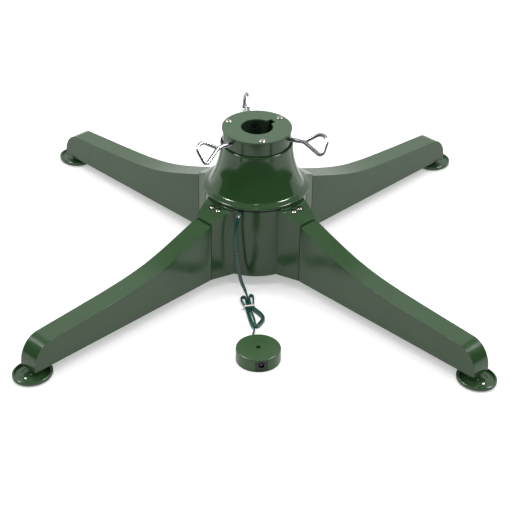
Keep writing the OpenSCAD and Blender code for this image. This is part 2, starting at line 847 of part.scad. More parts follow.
module drive_pinion() {
    color("#b7a04f")
        difference() {
            translate([0, pinion_y, gear_z - 1])
                rotate([0, 0, 90 + 180 / pinion_teeth])
                    linear_extrude(height = gear_h + 2) polygon(gear_outline(pinion_teeth, 0.9, 1.25));
            translate([0, pinion_y, gear_z - 2]) cylinder(r = shaft_r, h = gear_h + 4);
        }
}

module ring_gear() {
    color(white)
        difference() {
            union() {
                translate([0, 0, gear_z])
                    rotate([0, 0, 90])
                        linear_extrude(height = gear_h) polygon(gear_outline(ring_teeth, 0.8, 1.25));
                translate([0, 0, gear_z + gear_h - 0.5]) cylinder(r = collar_r, h = collar_h + 0.5);
            }
            translate([0, 0, gear_z - cut]) cylinder(r = tube_r + running, h = gear_h + collar_h + 2 * cut);
            for (a = boss_turns) rotate([0, 0, a])
                translate([tube_r - 1, 0, gear_z + gear_h + collar_h / 2])
                    rotate([0, 90, 0]) cylinder(r = set_screw_r + running, h = collar_r);
        }
}

module gear_set_screws() {
    color(black)
        for (a = boss_turns) rotate([0, 0, a])
            translate([tube_r + 0.02, 0, gear_z + gear_h + collar_h / 2])
                rotate([0, 90, 0])
                    difference() {
                        cylinder(r = set_screw_r, h = collar_r - tube_r - 0.4);
                        translate([0, 0, 3]) cylinder(r = 1, h = collar_r, $fn = 6);
                    }
}

// Turning socket.
module key_cut(z) {
    rotate([0, 0, key_turn])
        translate([pole_r - 6, -key_w / 2, z]) cube([key_reach - pole_r + 6, key_w, stand_h]);
}

module pole_socket() {
    color(dark_green)
        difference() {
            union() {
                translate([0, 0, socket_floor - tube_floor_t])
                    cylinder(r = tube_r, h = plate_z - socket_floor + tube_floor_t);
                translate([0, 0, pivot_low]) cylinder(r = pivot_r, h = socket_floor - pivot_low);
            }
            translate([0, 0, socket_floor]) cylinder(r = pole_r, h = stand_h);
            translate([0, 0, clip_z]) ring(tube_r + cut, tube_r - clip_groove, clip_t);
            for (a = clamp_turns) rotate([0, 0, a])
                translate([pole_r - 4, 0, screw_z]) rotate([0, 90, 0]) cylinder(r = tube_hole_r, h = 10);
            key_cut(plate_z - key_depth);
        }
}

module retaining_ring() {
    color(steel)
        translate([0, 0, clip_z + 0.05])
            difference() {
                ring(clip_r, tube_r - clip_groove + running, clip_t - 0.1);
                translate([0, -2, -cut]) cube([clip_r + cut, 4, clip_t + 2 * cut]);
            }
}

module clamp_drum() {
    drum_h = plate_z - web_z;
    color(green)
        difference() {
            translate([0, 0, web_z]) cylinder(r = drum_r, h = drum_h);
            difference() {
                translate([0, 0, web_z + web_t]) cylinder(r = drum_r - drum_wall, h = drum_h);
                cylinder(r = drum_ring_r, h = 2 * stand_h);
                for (a = clamp_turns) rotate([0, 0, a])
                    translate([drum_ring_r - 2, -block_w / 2, web_z]) cube([drum_r, block_w, 2 * drum_h]);
                around(boss_turns, boss_ring_r)
                    translate([0, 0, web_z]) cylinder(r = boss_r, h = 2 * drum_h);
            }
            translate([0, 0, web_z - cut]) cylinder(r = tube_r + running, h = drum_h + 2 * cut);
            for (a = clamp_turns) rotate([0, 0, a])
                translate([0, 0, screw_z]) {
                    translate([tube_r - 2, 0, 0])
                        rotate([0, 90, 0]) cylinder(r = thread_r + running, h = drum_r);
                    translate([tube_r - 2, 0, 0])
                        rotate([0, 90, 0]) cylinder(r = tube_hole_r, h = drum_ring_r - tube_r + 1.7);
                    translate([nut_x - seat / 2, -nut_af / 2 - seat / 2, -nut_af * 0.6])
                        cube([nut_t + seat, nut_af + seat, stand_h]);
                }
            around(boss_turns, boss_ring_r)
                translate([0, 0, plate_z - plate_screw_l]) cylinder(r = plate_screw_r + running, h = stand_h);
            key_cut(plate_z - key_depth);
        }
}

module top_plate() {
    color("#5c7460")
        difference() {
            translate([0, 0, plate_z]) cylinder(r = plate_r, h = plate_t);
            translate([0, 0, plate_z - cut]) cylinder(r = pole_r, h = plate_t + 2 * cut);
            key_cut(plate_z - cut);
            around(boss_turns, boss_ring_r)
                translate([0, 0, plate_z - cut]) cylinder(r = plate_screw_r + running, h = plate_t + 2 * cut);
        }
}

module plate_screws() {
    color(zinc)
        around(boss_turns, boss_ring_r)
            translate([0, 0, stand_h])
                pan_screw(plate_screw_r, plate_screw_l, plate_head_r, plate_head_h);
}

module clamp_nuts() {
    color(steel)
        for (a = clamp_turns) rotate([0, 0, a])
            translate([nut_x, 0, screw_z]) rotate([0, 90, 0])
                difference() {
                    cylinder(r = nut_af / sqrt(3), h = nut_t, $fn = 6);
                    translate([0, 0, -cut]) cylinder(r = thread_r + running, h = nut_t + 2 * cut);
                }
}

// A wire bent in the XZ plane through the points p, with one radius of bends for each corner.
module bent_wire(p, r, bends) {
    n = len(p);
    turns = [for (i = [1:n - 2])
        let (
            a = unit(p[i] - p[i - 1]),
            b = unit(p[i + 1] - p[i]),
            turn = atan2(a[0] * b[1] - a[1] * b[0], a * b),
            bend = bends[i - 1],
            reach = bend * tan(abs(turn) / 2)
        )
        [p[i] - a * reach, p[i] + b * reach, a, turn, bend]];
    for (i = [0:n - 2]) {
        start = i == 0 ? p[0] : turns[i - 1][1];
        end = i == n - 2 ? p[n - 1] : turns[i][0];
        d = end - start;
        translate([start[0], 0, start[1]])
            rotate([0, 90 - atan2(d[1], d[0]), 0])
                translate([0, 0, -wire_lap]) cylinder(r = r, h = norm(d) + 2 * wire_lap);
    }
    for (t = turns) {
        side = sign(t[3]);
        heading = atan2(t[2][1], t[2][0]);
        centre = t[0] + t[4] * side * [-t[2][1], t[2][0]];
        translate([centre[0], 0, centre[1]])
            rotate([90, 0, 0])
                rotate([0, 0, heading - side * 90 + min(0, t[3])])
                    rotate_extrude(angle = abs(t[3])) translate([t[4], 0]) circle(r = r * bend_swell);
    }
}

module clamp_place(i) {
    rotate([0, 0, clamp_turns[i]]) translate([0, 0, screw_z]) children();
}

module eye_screw(i) {
    loop = [
        [thread_x1 - 1, 0], [loop_apex, 0], [loop_low_x, -loop_low],
        [loop_high_x, loop_w - loop_low], [loop_close_x, loop_close_y]
    ];
    color(zinc)
        clamp_place(i) rotate([-loop_tilts[i], 0, 0]) {
            translate([cap_face + tip_in, 0, 0]) rotate([0, 90, 0])
                cylinder(r = tip_r, h = thread_x0 - cap_face);
            translate([thread_x0, 0, 0]) rotate([0, 90, 0]) cylinder(r = thread_r, h = thread_x1 - thread_x0);
            bent_wire(loop, wire_r, loop_bends);
        }
}

module eye_screw_1() { eye_screw(0); }
module eye_screw_2() { eye_screw(1); }
module eye_screw_3() { eye_screw(2); }

module tip_cap(i) {
    color(zinc)
        clamp_place(i) translate([cap_face, 0, 0]) rotate([0, 90, 0])
            difference() {
                cylinder(r = cap_r, h = cap_l);
                translate([0, 0, tip_in - 0.1]) cylinder(r = tip_r + running, h = cap_l);
            }
}

module tip_cap_1() { tip_cap(0); }
module tip_cap_2() { tip_cap(1); }
module tip_cap_3() { tip_cap(2); }

// Cord.
module flat_hole(w, t, l) {
    translate([0, -w / 2, -t / 2]) cube([l, w, t]);
}

module cord_grommet() {
    body_r = slot_r - 0.1;
    z = hub_top;
    color(black)
        rotate([0, 0, slot_turn])
            difference() {
                union() {
                    translate([slot_in, 0, z]) rotate([0, 90, 0])
                        cylinder(r = body_r, h = grommet_x1 - slot_in);
                    translate([hub_r + 0.1, 0, z - 0.6]) rotate([0, 90, 0])
                        cylinder(r = body_r + 0.8, h = grommet_x1 - hub_r - 0.1);
                }
                translate([0, -hub_r, z + grommet_rise]) cube([2 * hub_r, 2 * hub_r, hub_r]);
                translate([0, 0, fall_route[0][2]]) flat_hole(cord_w + 0.1, cord_t + 0.1, 2 * hub_r);
            }
}

module motor_lead() {
    color(cord_green) sweep(lead_route, 2 * lead_r, 2 * lead_r, [1, 0, 0.01], [0.1, 0, 1], 1);
}

module cord_fall() {
    color(cord_green) sweep(fall_route, cord_w, cord_t, [0.956, -0.292, 0], [0.5, 0.1, 1], 0.2);
}

module lobe(ends) {
    hull() for (e = ends) translate([e[0], e[1]]) circle(r = e[2], $fn = 32);
}

module cord_hank() {
    color(cord_green)
        linear_extrude(height = cord_w) {
            lobe(upper_lobe);
            lobe(lower_lobe);
        }
}

module cord_tie() {
    color(white)
        translate([tie_at[0], tie_at[1], 0]) rotate([0, 0, tie_turn])
            difference() {
                translate([-tie_l / 2, -tie_w / 2, 0]) cube([tie_l, tie_w, cord_w + tie_t]);
                translate([-tie_l / 2 + tie_t, -tie_w, -cut])
                    cube([tie_l - 2 * tie_t, 2 * tie_w, cord_w + cut]);
            }
}

module cord_tail() {
    color(cord_green) sweep(tail_route, cord_w, cord_t, [0, 0, 1], [0, 0, 1], 1);
}

// Control box.
module box_place() {
    translate(box_at) children();
}

module jack_window(gap) {
    rotate([0, 0, jack_turn])
        translate([box_r - jack_l - gap, -jack_w / 2 - gap, jack_z0 - gap])
            cube([jack_l + 2 * gap + 5, jack_w + 2 * gap, jack_z1 - jack_z0 + 2 * gap]);
}

module inlet_hole(r, l) {
    rotate([0, 0, inlet_turn]) translate([box_r - l, 0, inlet_z]) rotate([0, 90, 0]) cylinder(r = r, h = 2 * l);
}

module control_base() {
    color(dark_green)
        box_place()
            difference() {
                union() {
                    cylinder(r = box_r - seat, h = box_base_t);
                    ring(box_r - box_wall - seat, box_r - 2 * box_wall, box_base_t + 2.2);
                    cylinder(r = box_post_r, h = box_post_z);
                    around(stud_turns, stud_ring_r) cylinder(r = 1.8, h = board_z);
                }
                translate([0, 0, box_post_z - 5]) cylinder(r = box_screw_r + running, h = 6);
                jack_window(seat);
                inlet_hole(3.6, 5);
            }
}

module control_cover() {
    outline = concat(
        [[0, box_h], [box_r - box_round, box_h]],
        arc(box_r - box_round, box_h - box_round, box_round, box_round, 90, 0, 6),
        [[box_r, box_base_t], [box_r - box_wall, box_base_t],
            [box_r - box_wall, box_h - box_wall], [0, box_h - box_wall]]);
    color(green)
        box_place()
            difference() {
                union() {
                    rotate_extrude() polygon(outline);
                    translate([0, 0, box_post_z + 0.1]) cylinder(r = box_tube_r, h = box_h - box_post_z - 0.5);
                }
                translate([0, 0, box_hole_z]) cylinder(r = box_hole_r, h = box_h);
                translate([0, 0, 1]) cylinder(r = box_screw_r + running, h = box_h);
                jack_window(seat);
                inlet_hole(3.1, 4);
            }
}

module control_board() {
    color("#2d6b3c")
        box_place()
            difference() {
                union() {
                    translate([0, 0, board_z]) cylinder(r = board_r, h = board_t);
                    translate([-15, -5, board_z + board_t - 0.1]) cube([6, 9, 1.8]);
                    translate([8, 6, board_z + board_t - 0.1]) cylinder(r = 3, h = 6);
                    translate([9, -6, board_z + board_t - 0.1]) cube([5, 4, 2.4]);
                }
                translate([0, 0, board_z - cut]) cylinder(r = box_tube_r + 0.4, h = 10);
                jack_window(seat);
            }
}

module control_screw() {
    color(steel)
        box_place() translate([0, 0, box_hole_z])
            pan_screw(box_screw_r, 6.5, box_hole_r - 0.4, 1.8);
}

module jack_axis(x, l, r) {
    rotate([0, 0, jack_turn]) translate([x, 0, jack_axis_z]) rotate([0, 90, 0]) cylinder(r = r, h = l);
}

module dc_jack() {
    color(black)
        box_place()
            difference() {
                rotate([0, 0, jack_turn])
                    translate([box_r - jack_l, -jack_w / 2, jack_z0])
                        cube([jack_face - box_r + jack_l, jack_w, jack_z1 - jack_z0]);
                jack_axis(jack_face - jack_bore_l, jack_bore_l + cut, jack_bore_r);
            }
}

module jack_pin() {
    color(steel) box_place() jack_axis(jack_face - jack_bore_l, jack_bore_l - 1, jack_pin_r);
}

module control_bushing() {
    color(black)
        box_place()
            rotate([0, 0, inlet_turn])
                translate([box_r - box_wall - 1, 0, inlet_z])
                    difference() {
                        union() {
                            rotate([0, 90, 0]) cylinder(r = 3, h = inlet_l);
                            translate([box_wall + 1.2, 0, 0]) rotate([0, 90, 0]) cylinder(r = 3.6, h = 1.2);
                        }
                        translate([-cut, -cord_t / 2 - 0.05, -cord_w / 2 - 0.05])
                            cube([inlet_l + 2 * cut, cord_t + 0.1, cord_w + 0.1]);
                    }
}

hub_housing();
bottom_cover();
deck_plate();
case_screws();
leg_front_left();
leg_front_right();
leg_rear_left();
leg_rear_right();
foot_front_left();
foot_front_right();
foot_rear_left();
foot_rear_right();
pad_front_left();
pad_front_right();
pad_rear_left();
pad_rear_right();
leg_screws();
foot_screws();
bell_cover();
bearing_tower();
upper_bushing();
lower_bushing();
lower_race();
bearing_balls();
ball_cage();
upper_race();
gearbox();
motor_can();
gearbox_screws();
motor_shaft();
drive_pinion();
ring_gear();
gear_set_screws();
pole_socket();
retaining_ring();
clamp_drum();
top_plate();
plate_screws();
clamp_nuts();
eye_screw_1();
eye_screw_2();
eye_screw_3();
tip_cap_1();
tip_cap_2();
tip_cap_3();
cord_grommet();
motor_lead();
cord_fall();
cord_hank();
cord_tie();
cord_tail();
control_bushing();
control_base();
control_cover();
control_board();
control_screw();
dc_jack();
jack_pin();
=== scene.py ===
import json
from math import asin, atan2, copysign, cos, pi, radians, sin, sqrt, tan

import bmesh
import bpy
from mathutils import Matrix, Vector


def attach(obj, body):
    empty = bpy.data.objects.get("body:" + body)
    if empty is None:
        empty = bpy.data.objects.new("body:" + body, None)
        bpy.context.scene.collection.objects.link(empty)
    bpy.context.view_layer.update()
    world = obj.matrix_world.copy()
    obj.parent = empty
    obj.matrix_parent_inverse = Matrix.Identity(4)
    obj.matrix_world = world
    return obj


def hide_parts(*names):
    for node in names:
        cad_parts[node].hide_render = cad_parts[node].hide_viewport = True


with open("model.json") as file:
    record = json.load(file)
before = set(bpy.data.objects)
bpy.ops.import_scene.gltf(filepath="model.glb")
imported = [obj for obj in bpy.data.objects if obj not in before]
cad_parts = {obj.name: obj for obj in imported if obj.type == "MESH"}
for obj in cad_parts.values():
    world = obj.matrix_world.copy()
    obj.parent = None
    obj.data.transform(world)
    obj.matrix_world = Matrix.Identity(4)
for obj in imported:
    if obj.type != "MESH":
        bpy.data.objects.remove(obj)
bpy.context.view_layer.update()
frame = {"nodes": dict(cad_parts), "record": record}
mm = 0.001
bodyOf = {node: body for body, nodes in frame["record"]["behaviour"]["bodies"].items() for node in nodes}


# Small helpers.


# A colour written as sRGB hex, as linear red, green, blue and alpha.
def linear(code):
    parts = [int(code[i : i + 2], 16) / 255 for i in (1, 3, 5)]
    return tuple(c / 12.92 if c <= 0.04045 else ((c + 0.055) / 1.055) ** 2.4 for c in parts) + (1.0,)


# A new object in the scene.
def placed(name, data):
    made = bpy.data.objects.new(name, data)
    bpy.context.scene.collection.objects.link(made)
    return made


# A shader node with its settings, which are inputs or properties, and its links.
def addNode(tree, kind, settings=None, links=None):
    node = tree.nodes.new("ShaderNode" + kind)
    for key, value in (settings or {}).items():
        if isinstance(key, int) or key in node.inputs:
            node.inputs[key].default_value = value
        else:
            setattr(node, key, value)
    for key, source in (links or {}).items():
        tree.links.new(source, node.inputs[key])
    return node


# Turned about the stand's axis after a move of x, y and z millimetres.
def spun(degrees, x=0, y=0, z=0):
    return Matrix.Rotation(radians(degrees), 4, "Z") @ Matrix.Translation((x, y, z))


# Takes a shape made along Z to one that lies along X, at a height.
def ontoX(height=0):
    return Matrix.Translation((0, 0, height)) @ Matrix.Rotation(radians(90), 4, "Y")


# Faces between rings of the same number of points, in millimetres, with a face on each end.
def addRings(bm, rings):
    made = [[bm.verts.new(Vector(p) * mm) for p in ring] for ring in rings]
    for a, b in zip(made, made[1:]):
        for i in range(len(a)):
            j = (i + 1) % len(a)
            bm.faces.new((a[i], a[j], b[j], b[i]))
    bm.faces.new(list(reversed(made[0])))
    bm.faces.new(made[-1])


# A closed outline of radius and height, turned about Z. A radius of 0 becomes one point.
def addLathe(bm, outline, steps, place=Matrix()):
    rows = []
    for r, z in outline:
        if r < 1e-6:
            rows.append([bm.verts.new(place @ Vector((0, 0, z)) * mm)])
        else:
            rows.append([
                bm.verts.new(place @ Vector((r * cos(a), r * sin(a), z)) * mm)
                for a in (2 * pi * i / steps for i in range(steps))
            ])
    for a, b in zip(rows, rows[1:] + rows[:1]):
        if len(a) == 1 and len(b) == 1:
            continue
        for i in range(steps):
            j = (i + 1) % steps
            corners = [a[i % len(a)], a[j % len(a)], b[j % len(b)], b[i % len(b)]]
            bm.faces.new(list(dict.fromkeys(corners)))


# A round bar along Z, from low to high.
def addDisc(bm, r, low, high, steps, place=Matrix()):
    addLathe(bm, [(0, low), (r, low), (r, high), (0, high)], steps, place)


# An outline in XY, from low to high.
def addPrism(bm, outline, low, high, place=Matrix()):
    addRings(bm, [[place @ Vector((x, y, z)) for x, y in outline] for z in (low, high)])


def addBox(bm, lowest, highest, place=Matrix()):
    (x0, y0, z0), (x1, y1, z1) = lowest, highest
    addPrism(bm, [(x0, y0), (x1, y0), (x1, y1), (x0, y1)], z0, z1, place)


# The direction of a path at its point i.
def heading(path, i):
    return (path[min(i + 1, len(path) - 1)] - path[max(i - 1, 0)]).normalized()


# Round rings across a path in the XZ plane, with a radius for each of its points.
def sweepRings(path, sides, radii):
    rings = []
    for i, (p, r) in enumerate(zip(path, radii)):
        along = heading(path, i)
        side = Vector((0, 1, 0)).cross(along).normalized()
        over = along.cross(side)
        rings.append([
            p + r * (cos(a) * side + sin(a) * over)
            for a in (2 * pi * k / sides for k in range(sides))
        ])
    return rings


def arc(cx, cy, rx, ry, a0, a1, steps):
    turns = [radians(a0 + (a1 - a0) * i / steps) for i in range(steps + 1)]
    return [(cx + rx * cos(a), cy + ry * sin(a)) for a in turns]


def bezier(a, b, c, d, steps):
    out = []
    for i in range(steps + 1):
        t = i / steps
        weights = ((1 - t) ** 3, 3 * t * (1 - t) ** 2, 3 * t * t * (1 - t), t**3)
        out.append(tuple(sum(w * p[k] for w, p in zip(weights, (a, b, c, d))) for k in range(len(a))))
    return out


def asObject(name, bm):
    bmesh.ops.recalc_face_normals(bm, faces=bm.faces)
    mesh = bpy.data.meshes.new(name)
    bm.to_mesh(mesh)
    bm.free()
    return placed(name, mesh)


def built(name, draw):
    bm = bmesh.new()
    draw(bm)
    return asObject(name, bm)


def lathed(name, outline, steps, place=Matrix()):
    return built(name, lambda bm: addLathe(bm, outline, steps, place))


def barred(name, r, low, high, steps, place=Matrix()):
    return built(name, lambda bm: addDisc(bm, r, low, high, steps, place))


def boxed(name, lowest, highest, place=Matrix()):
    return built(name, lambda bm: addBox(bm, lowest, highest, place))


# The values of those names, in that order.
def pick(facts, names):
    return [facts[name] for name in names.split()]


# base with the other objects joined to it or cut from it, as one mesh.
def combined(name, base, adds=(), cuts=()):
    for kind, others in (("UNION", adds), ("DIFFERENCE", cuts)):
        for other in others:
            step = base.modifiers.new(kind.lower(), "BOOLEAN")
            step.operation = kind
            step.solver = "EXACT"
            step.object = other
    shown = base.evaluated_get(bpy.context.evaluated_depsgraph_get())
    mesh = bpy.data.meshes.new_from_object(shown)
    for old in [base, *adds, *cuts]:
        bpy.data.objects.remove(old)
    mesh.name = name
    return placed(name, mesh)


# Rounds the edges by soft millimetres, gives the look, and hangs the piece on the body of its CAD nodes.
def dressed(piece, look, names, soft=0, segments=2, angle=32):
    nodes = names.split()
    bm = bmesh.new()
    bm.from_mesh(piece.data)
    bmesh.ops.remove_doubles(bm, verts=bm.verts, dist=0.002 * mm)
    bmesh.ops.recalc_face_normals(bm, faces=bm.faces)
    for face in bm.faces:
        face.smooth = True
    bm.to_mesh(piece.data)
    bm.free()
    piece.data.materials.clear()
    piece.data.materials.append(finish[look])
    if soft:
        edge = piece.modifiers.new("edges", "BEVEL")
        edge.width = soft * mm
        edge.segments = segments
        edge.angle_limit = radians(angle)
        edge.harden_normals = True
    else:
        piece.data.set_sharp_from_angle(angle=radians(angle))
    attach(piece, bodyOf[nodes[0]])
    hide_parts(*nodes)


# Camera, at the photograph's viewing angle. Millimetres and degrees, in the stand's frame.

cameraFacts = {
    "target": (0.2, 0.0, 4.35), "distance": 2028.8, "elevation": 32.7, "azimuth": -0.51, "roll": 0.97,
    "lens": 107.96,
}


def makeCamera(facts):
    up = radians(facts["elevation"])
    roll = radians(facts["roll"])
    turn = Matrix.Rotation(radians(facts["azimuth"]), 3, "Z")
    back = Vector((0, -cos(up), sin(up)))
    flatRight = Vector((1, 0, 0))
    flatUp = Vector((0, sin(up), cos(up)))
    right = cos(roll) * flatRight + sin(roll) * flatUp
    top = cos(roll) * flatUp - sin(roll) * flatRight
    spot = (Vector(facts["target"]) + facts["distance"] * back) * mm
    data = bpy.data.cameras.new("camera")
    data.lens = facts["lens"]
    data.clip_start = 0.05
    data.clip_end = 60
    camera = placed("camera", data)
    axes = Matrix((turn @ right, turn @ top, turn @ back)).transposed()
    camera.matrix_world = Matrix.Translation(turn @ spot) @ axes.to_4x4()
    bpy.context.scene.camera = camera


makeCamera(cameraFacts)
print("camera made")


# Cord: one flat twin lead from the hub to the control box, folded up once on the floor.

cordFacts = {
    "width": 4.8, "thickness": 2.3, "length": 0.509, "spacing": 1.5, "groove": 48,
    "wideAtExit": (0.956, -0.292, 0), "twistFrom": 0.72, "twistOver": 0.3,
}
cordRoute = {
    "fall": [
        (-19.7, -64.5, 108.8), (-20.5, -67, 108.8), (-21.2, -70, 108), (-22.2, -73, 105.5),
        (-23, -75, 101.5), (-23.8, -76.3, 96), (-24.5, -77.2, 90), (-25.1, -78.3, 82),
        (-25.2, -79, 74), (-24.8, -79.7, 66), (-24, -80.3, 58), (-23, -80.8, 50),
        (-21.9, -81.3, 42), (-20.7, -82, 34), (-19.4, -83, 26), (-17.5, -84.3, 18.5),
        (-15.2, -85.8, 12.5), (-12.8, -87.8, 7.6), (-11, -90.4, 4.2), (-10.2, -93, 2.8),
    ],
    "hank": [(x, y, 2.4) for x, y in (
        (-9.6, -97), (-9, -102), (-8.3, -108), (-7.5, -114), (-6.8, -119.4), (-4.9, -127), (-3, -135),
        (-1.1, -143), (0, -150), (0.4, -155), (1.2, -158.2), (2.7, -158.6), (4.1, -156.8), (6.2, -152.2),
        (8.4, -147.4), (8.9, -142.6), (6.9, -137.6), (2.9, -131.3), (-1.5, -125.3), (-4.5, -119.1),
        (-5.4, -113), (-6.2, -107), (-6.8, -101), (-6.9, -96.5), (-5.9, -93.4), (-3.9, -92.8), (-2.4, -95),
        (-1.9, -100), (-1.9, -106), (-1.9, -112), (-2, -118.4), (1.8, -124.5), (6.7, -131), (10.3, -138.1),
        (11.6, -144.2), (10.8, -149), (8.6, -153.6), (6.2, -158.2), (3.9, -161.3), (1.1, -161.3),
        (-1.2, -158.9), (-2.4, -155), (-3.9, -149), (-5.8, -140), (-7.5, -130), (-9.1, -119.8),
        (-10.2, -113), (-11.1, -106), (-11.8, -100.5), (-13, -97.2), (-15.2, -96.7), (-17, -99),
        (-17.2, -103.5), (-15.4, -110), (-13, -116), (-11.5, -120.2), (-9.9, -130), (-8.2, -140),
        (-6.3, -150), (-4.6, -157), (-3, -161.4), (-1.4, -164.4), (-0.5, -167.3),
    )],
    "tail": [
        (-0.8, -171, 2.4), (-1.6, -175, 2.4), (-2.4, -180, 2.5),
        (-3, -185, 3), (-3.1, -189, 4.1), (-2.9, -192.6, 5), (-2.5, -195.7, 5.2),
    ],
}


# Points on a smooth curve through all the given ones, about the same distance apart.
def smoothPath(points, spacing):
    ends = [2 * points[0] - points[1], *points, 2 * points[-1] - points[-2]]
    fine = []
    for a, b, c, d in zip(ends, ends[1:], ends[2:], ends[3:]):
        for k in range(24):
            t = k / 24
            fine.append(0.5 * (
                2 * b + (c - a) * t + (2 * a - 5 * b + 4 * c - d) * t * t + (3 * b - 3 * c + d - a) * t**3
            ))
    fine.append(points[-1])
    reach = [0.0]
    for p, q in zip(fine, fine[1:]):
        reach.append(reach[-1] + (q - p).length)
    count = round(reach[-1] / spacing)
    path, at = [], 0
    for k in range(count + 1):
        goal = reach[-1] * k / count
        while at < len(fine) - 2 and reach[at + 1] < goal:
            at += 1
        share = (goal - reach[at]) / max(reach[at + 1] - reach[at], 1e-9)
        path.append(fine[at].lerp(fine[at + 1], min(1, share)))
    return path, reach[-1]


# Outline of the two cores side by side, with a groove between them.
def twinSection(facts):
    r, groove = facts["thickness"] / 2, facts["groove"]
    half = facts["width"] / 2 - r
    turns = [radians(a) for a in range(groove - 180, 181 - groove, 24)]
    right = [(half + r * cos(a), r * sin(a)) for a in turns]
    return right + [(-x, -y) for x, y in right]


# The lead leaves the hub lying wide, and stands on edge from the end of its fall on.
def drawCord(bm, path, facts, fallLength):
    section = twinSection(facts)
    flat, start, over = Vector(facts["wideAtExit"]), facts["twistFrom"], facts["twistOver"]
    rings = []
    gone = 0.0
    for i, p in enumerate(path):
        if i:
            gone += (p - path[i - 1]).length
        along = heading(path, i)
        share = min(1.0, max(0.0, (gone / fallLength - start) / over))
        share = share * share * (3 - 2 * share)
        wide = flat.lerp(Vector((0, 0, 1)), share)
        side = (wide - wide.dot(along) * along).normalized()
        up = along.cross(side)
        rings.append([p + x * side + y * up for x, y in section])
    addRings(bm, rings)


route = [Vector(p) for part in ("fall", "hank", "tail") for p in cordRoute[part]]
cordPath, cordLength = smoothPath(route, cordFacts["spacing"])
fallLength = smoothPath([Vector(p) for p in cordRoute["fall"]], 2)[1]


# Materials.


# Noise whose patches are size millimetres across.
def noise(tree, place, size, detail, rough, stretch):
    if stretch:
        place = addNode(tree, "Mapping", {"Scale": stretch}, {"Vector": place}).outputs["Vector"]
    settings = {"Scale": 1 / (size * mm), "Detail": detail, "Roughness": rough}
    return addNode(tree, "TexNoise", settings, {"Vector": place}).outputs["Fac"]


# A number from low to high as the noise rises through its middle.
def between(tree, factor, low, high):
    settings = {"From Min": 0.3, "From Max": 0.7, "To Min": low, "To Max": high}
    return addNode(tree, "MapRange", settings, {"Value": factor}).outputs["Result"]


# A colour from first to second as the noise rises through its middle.
def tones(tree, factor, first, second):
    ramp = addNode(tree, "ValToRGB", {}, {"Fac": factor})
    for element, position, code in zip(ramp.color_ramp.elements, (0.35, 0.65), (first, second)):
        element.position = position
        element.color = linear(code)
    return ramp.outputs["Color"]


# One finish: base colours in soft patches, a varied gloss, and a fine relief.
def makeMaterial(
    name, first, second, patch, low, high, glossPatch, grain, depth, metal=0, coat=0, along=None
):
    material = bpy.data.materials.new(name)
    material.use_nodes = True
    tree = material.node_tree
    shader = tree.nodes["Principled BSDF"]
    place = addNode(tree, "TexCoord").outputs["Object"]
    patches = noise(tree, place, patch, 4, 0.55, along)
    tree.links.new(tones(tree, patches, first, second), shader.inputs["Base Color"])
    gloss = noise(tree, place, glossPatch, 3, 0.6, along)
    tree.links.new(between(tree, gloss, low, high), shader.inputs["Roughness"])
    heights = noise(tree, place, grain, 2, 0.5, along)
    bump = addNode(tree, "Bump", {"Strength": 1.0, "Distance": depth * mm}, {"Height": heights})
    tree.links.new(bump.outputs["Normal"], shader.inputs["Normal"])
    shader.inputs["Metallic"].default_value = metal
    shader.inputs["Coat Weight"].default_value = coat
    shader.inputs["Coat Roughness"].default_value = 0.08
    return material


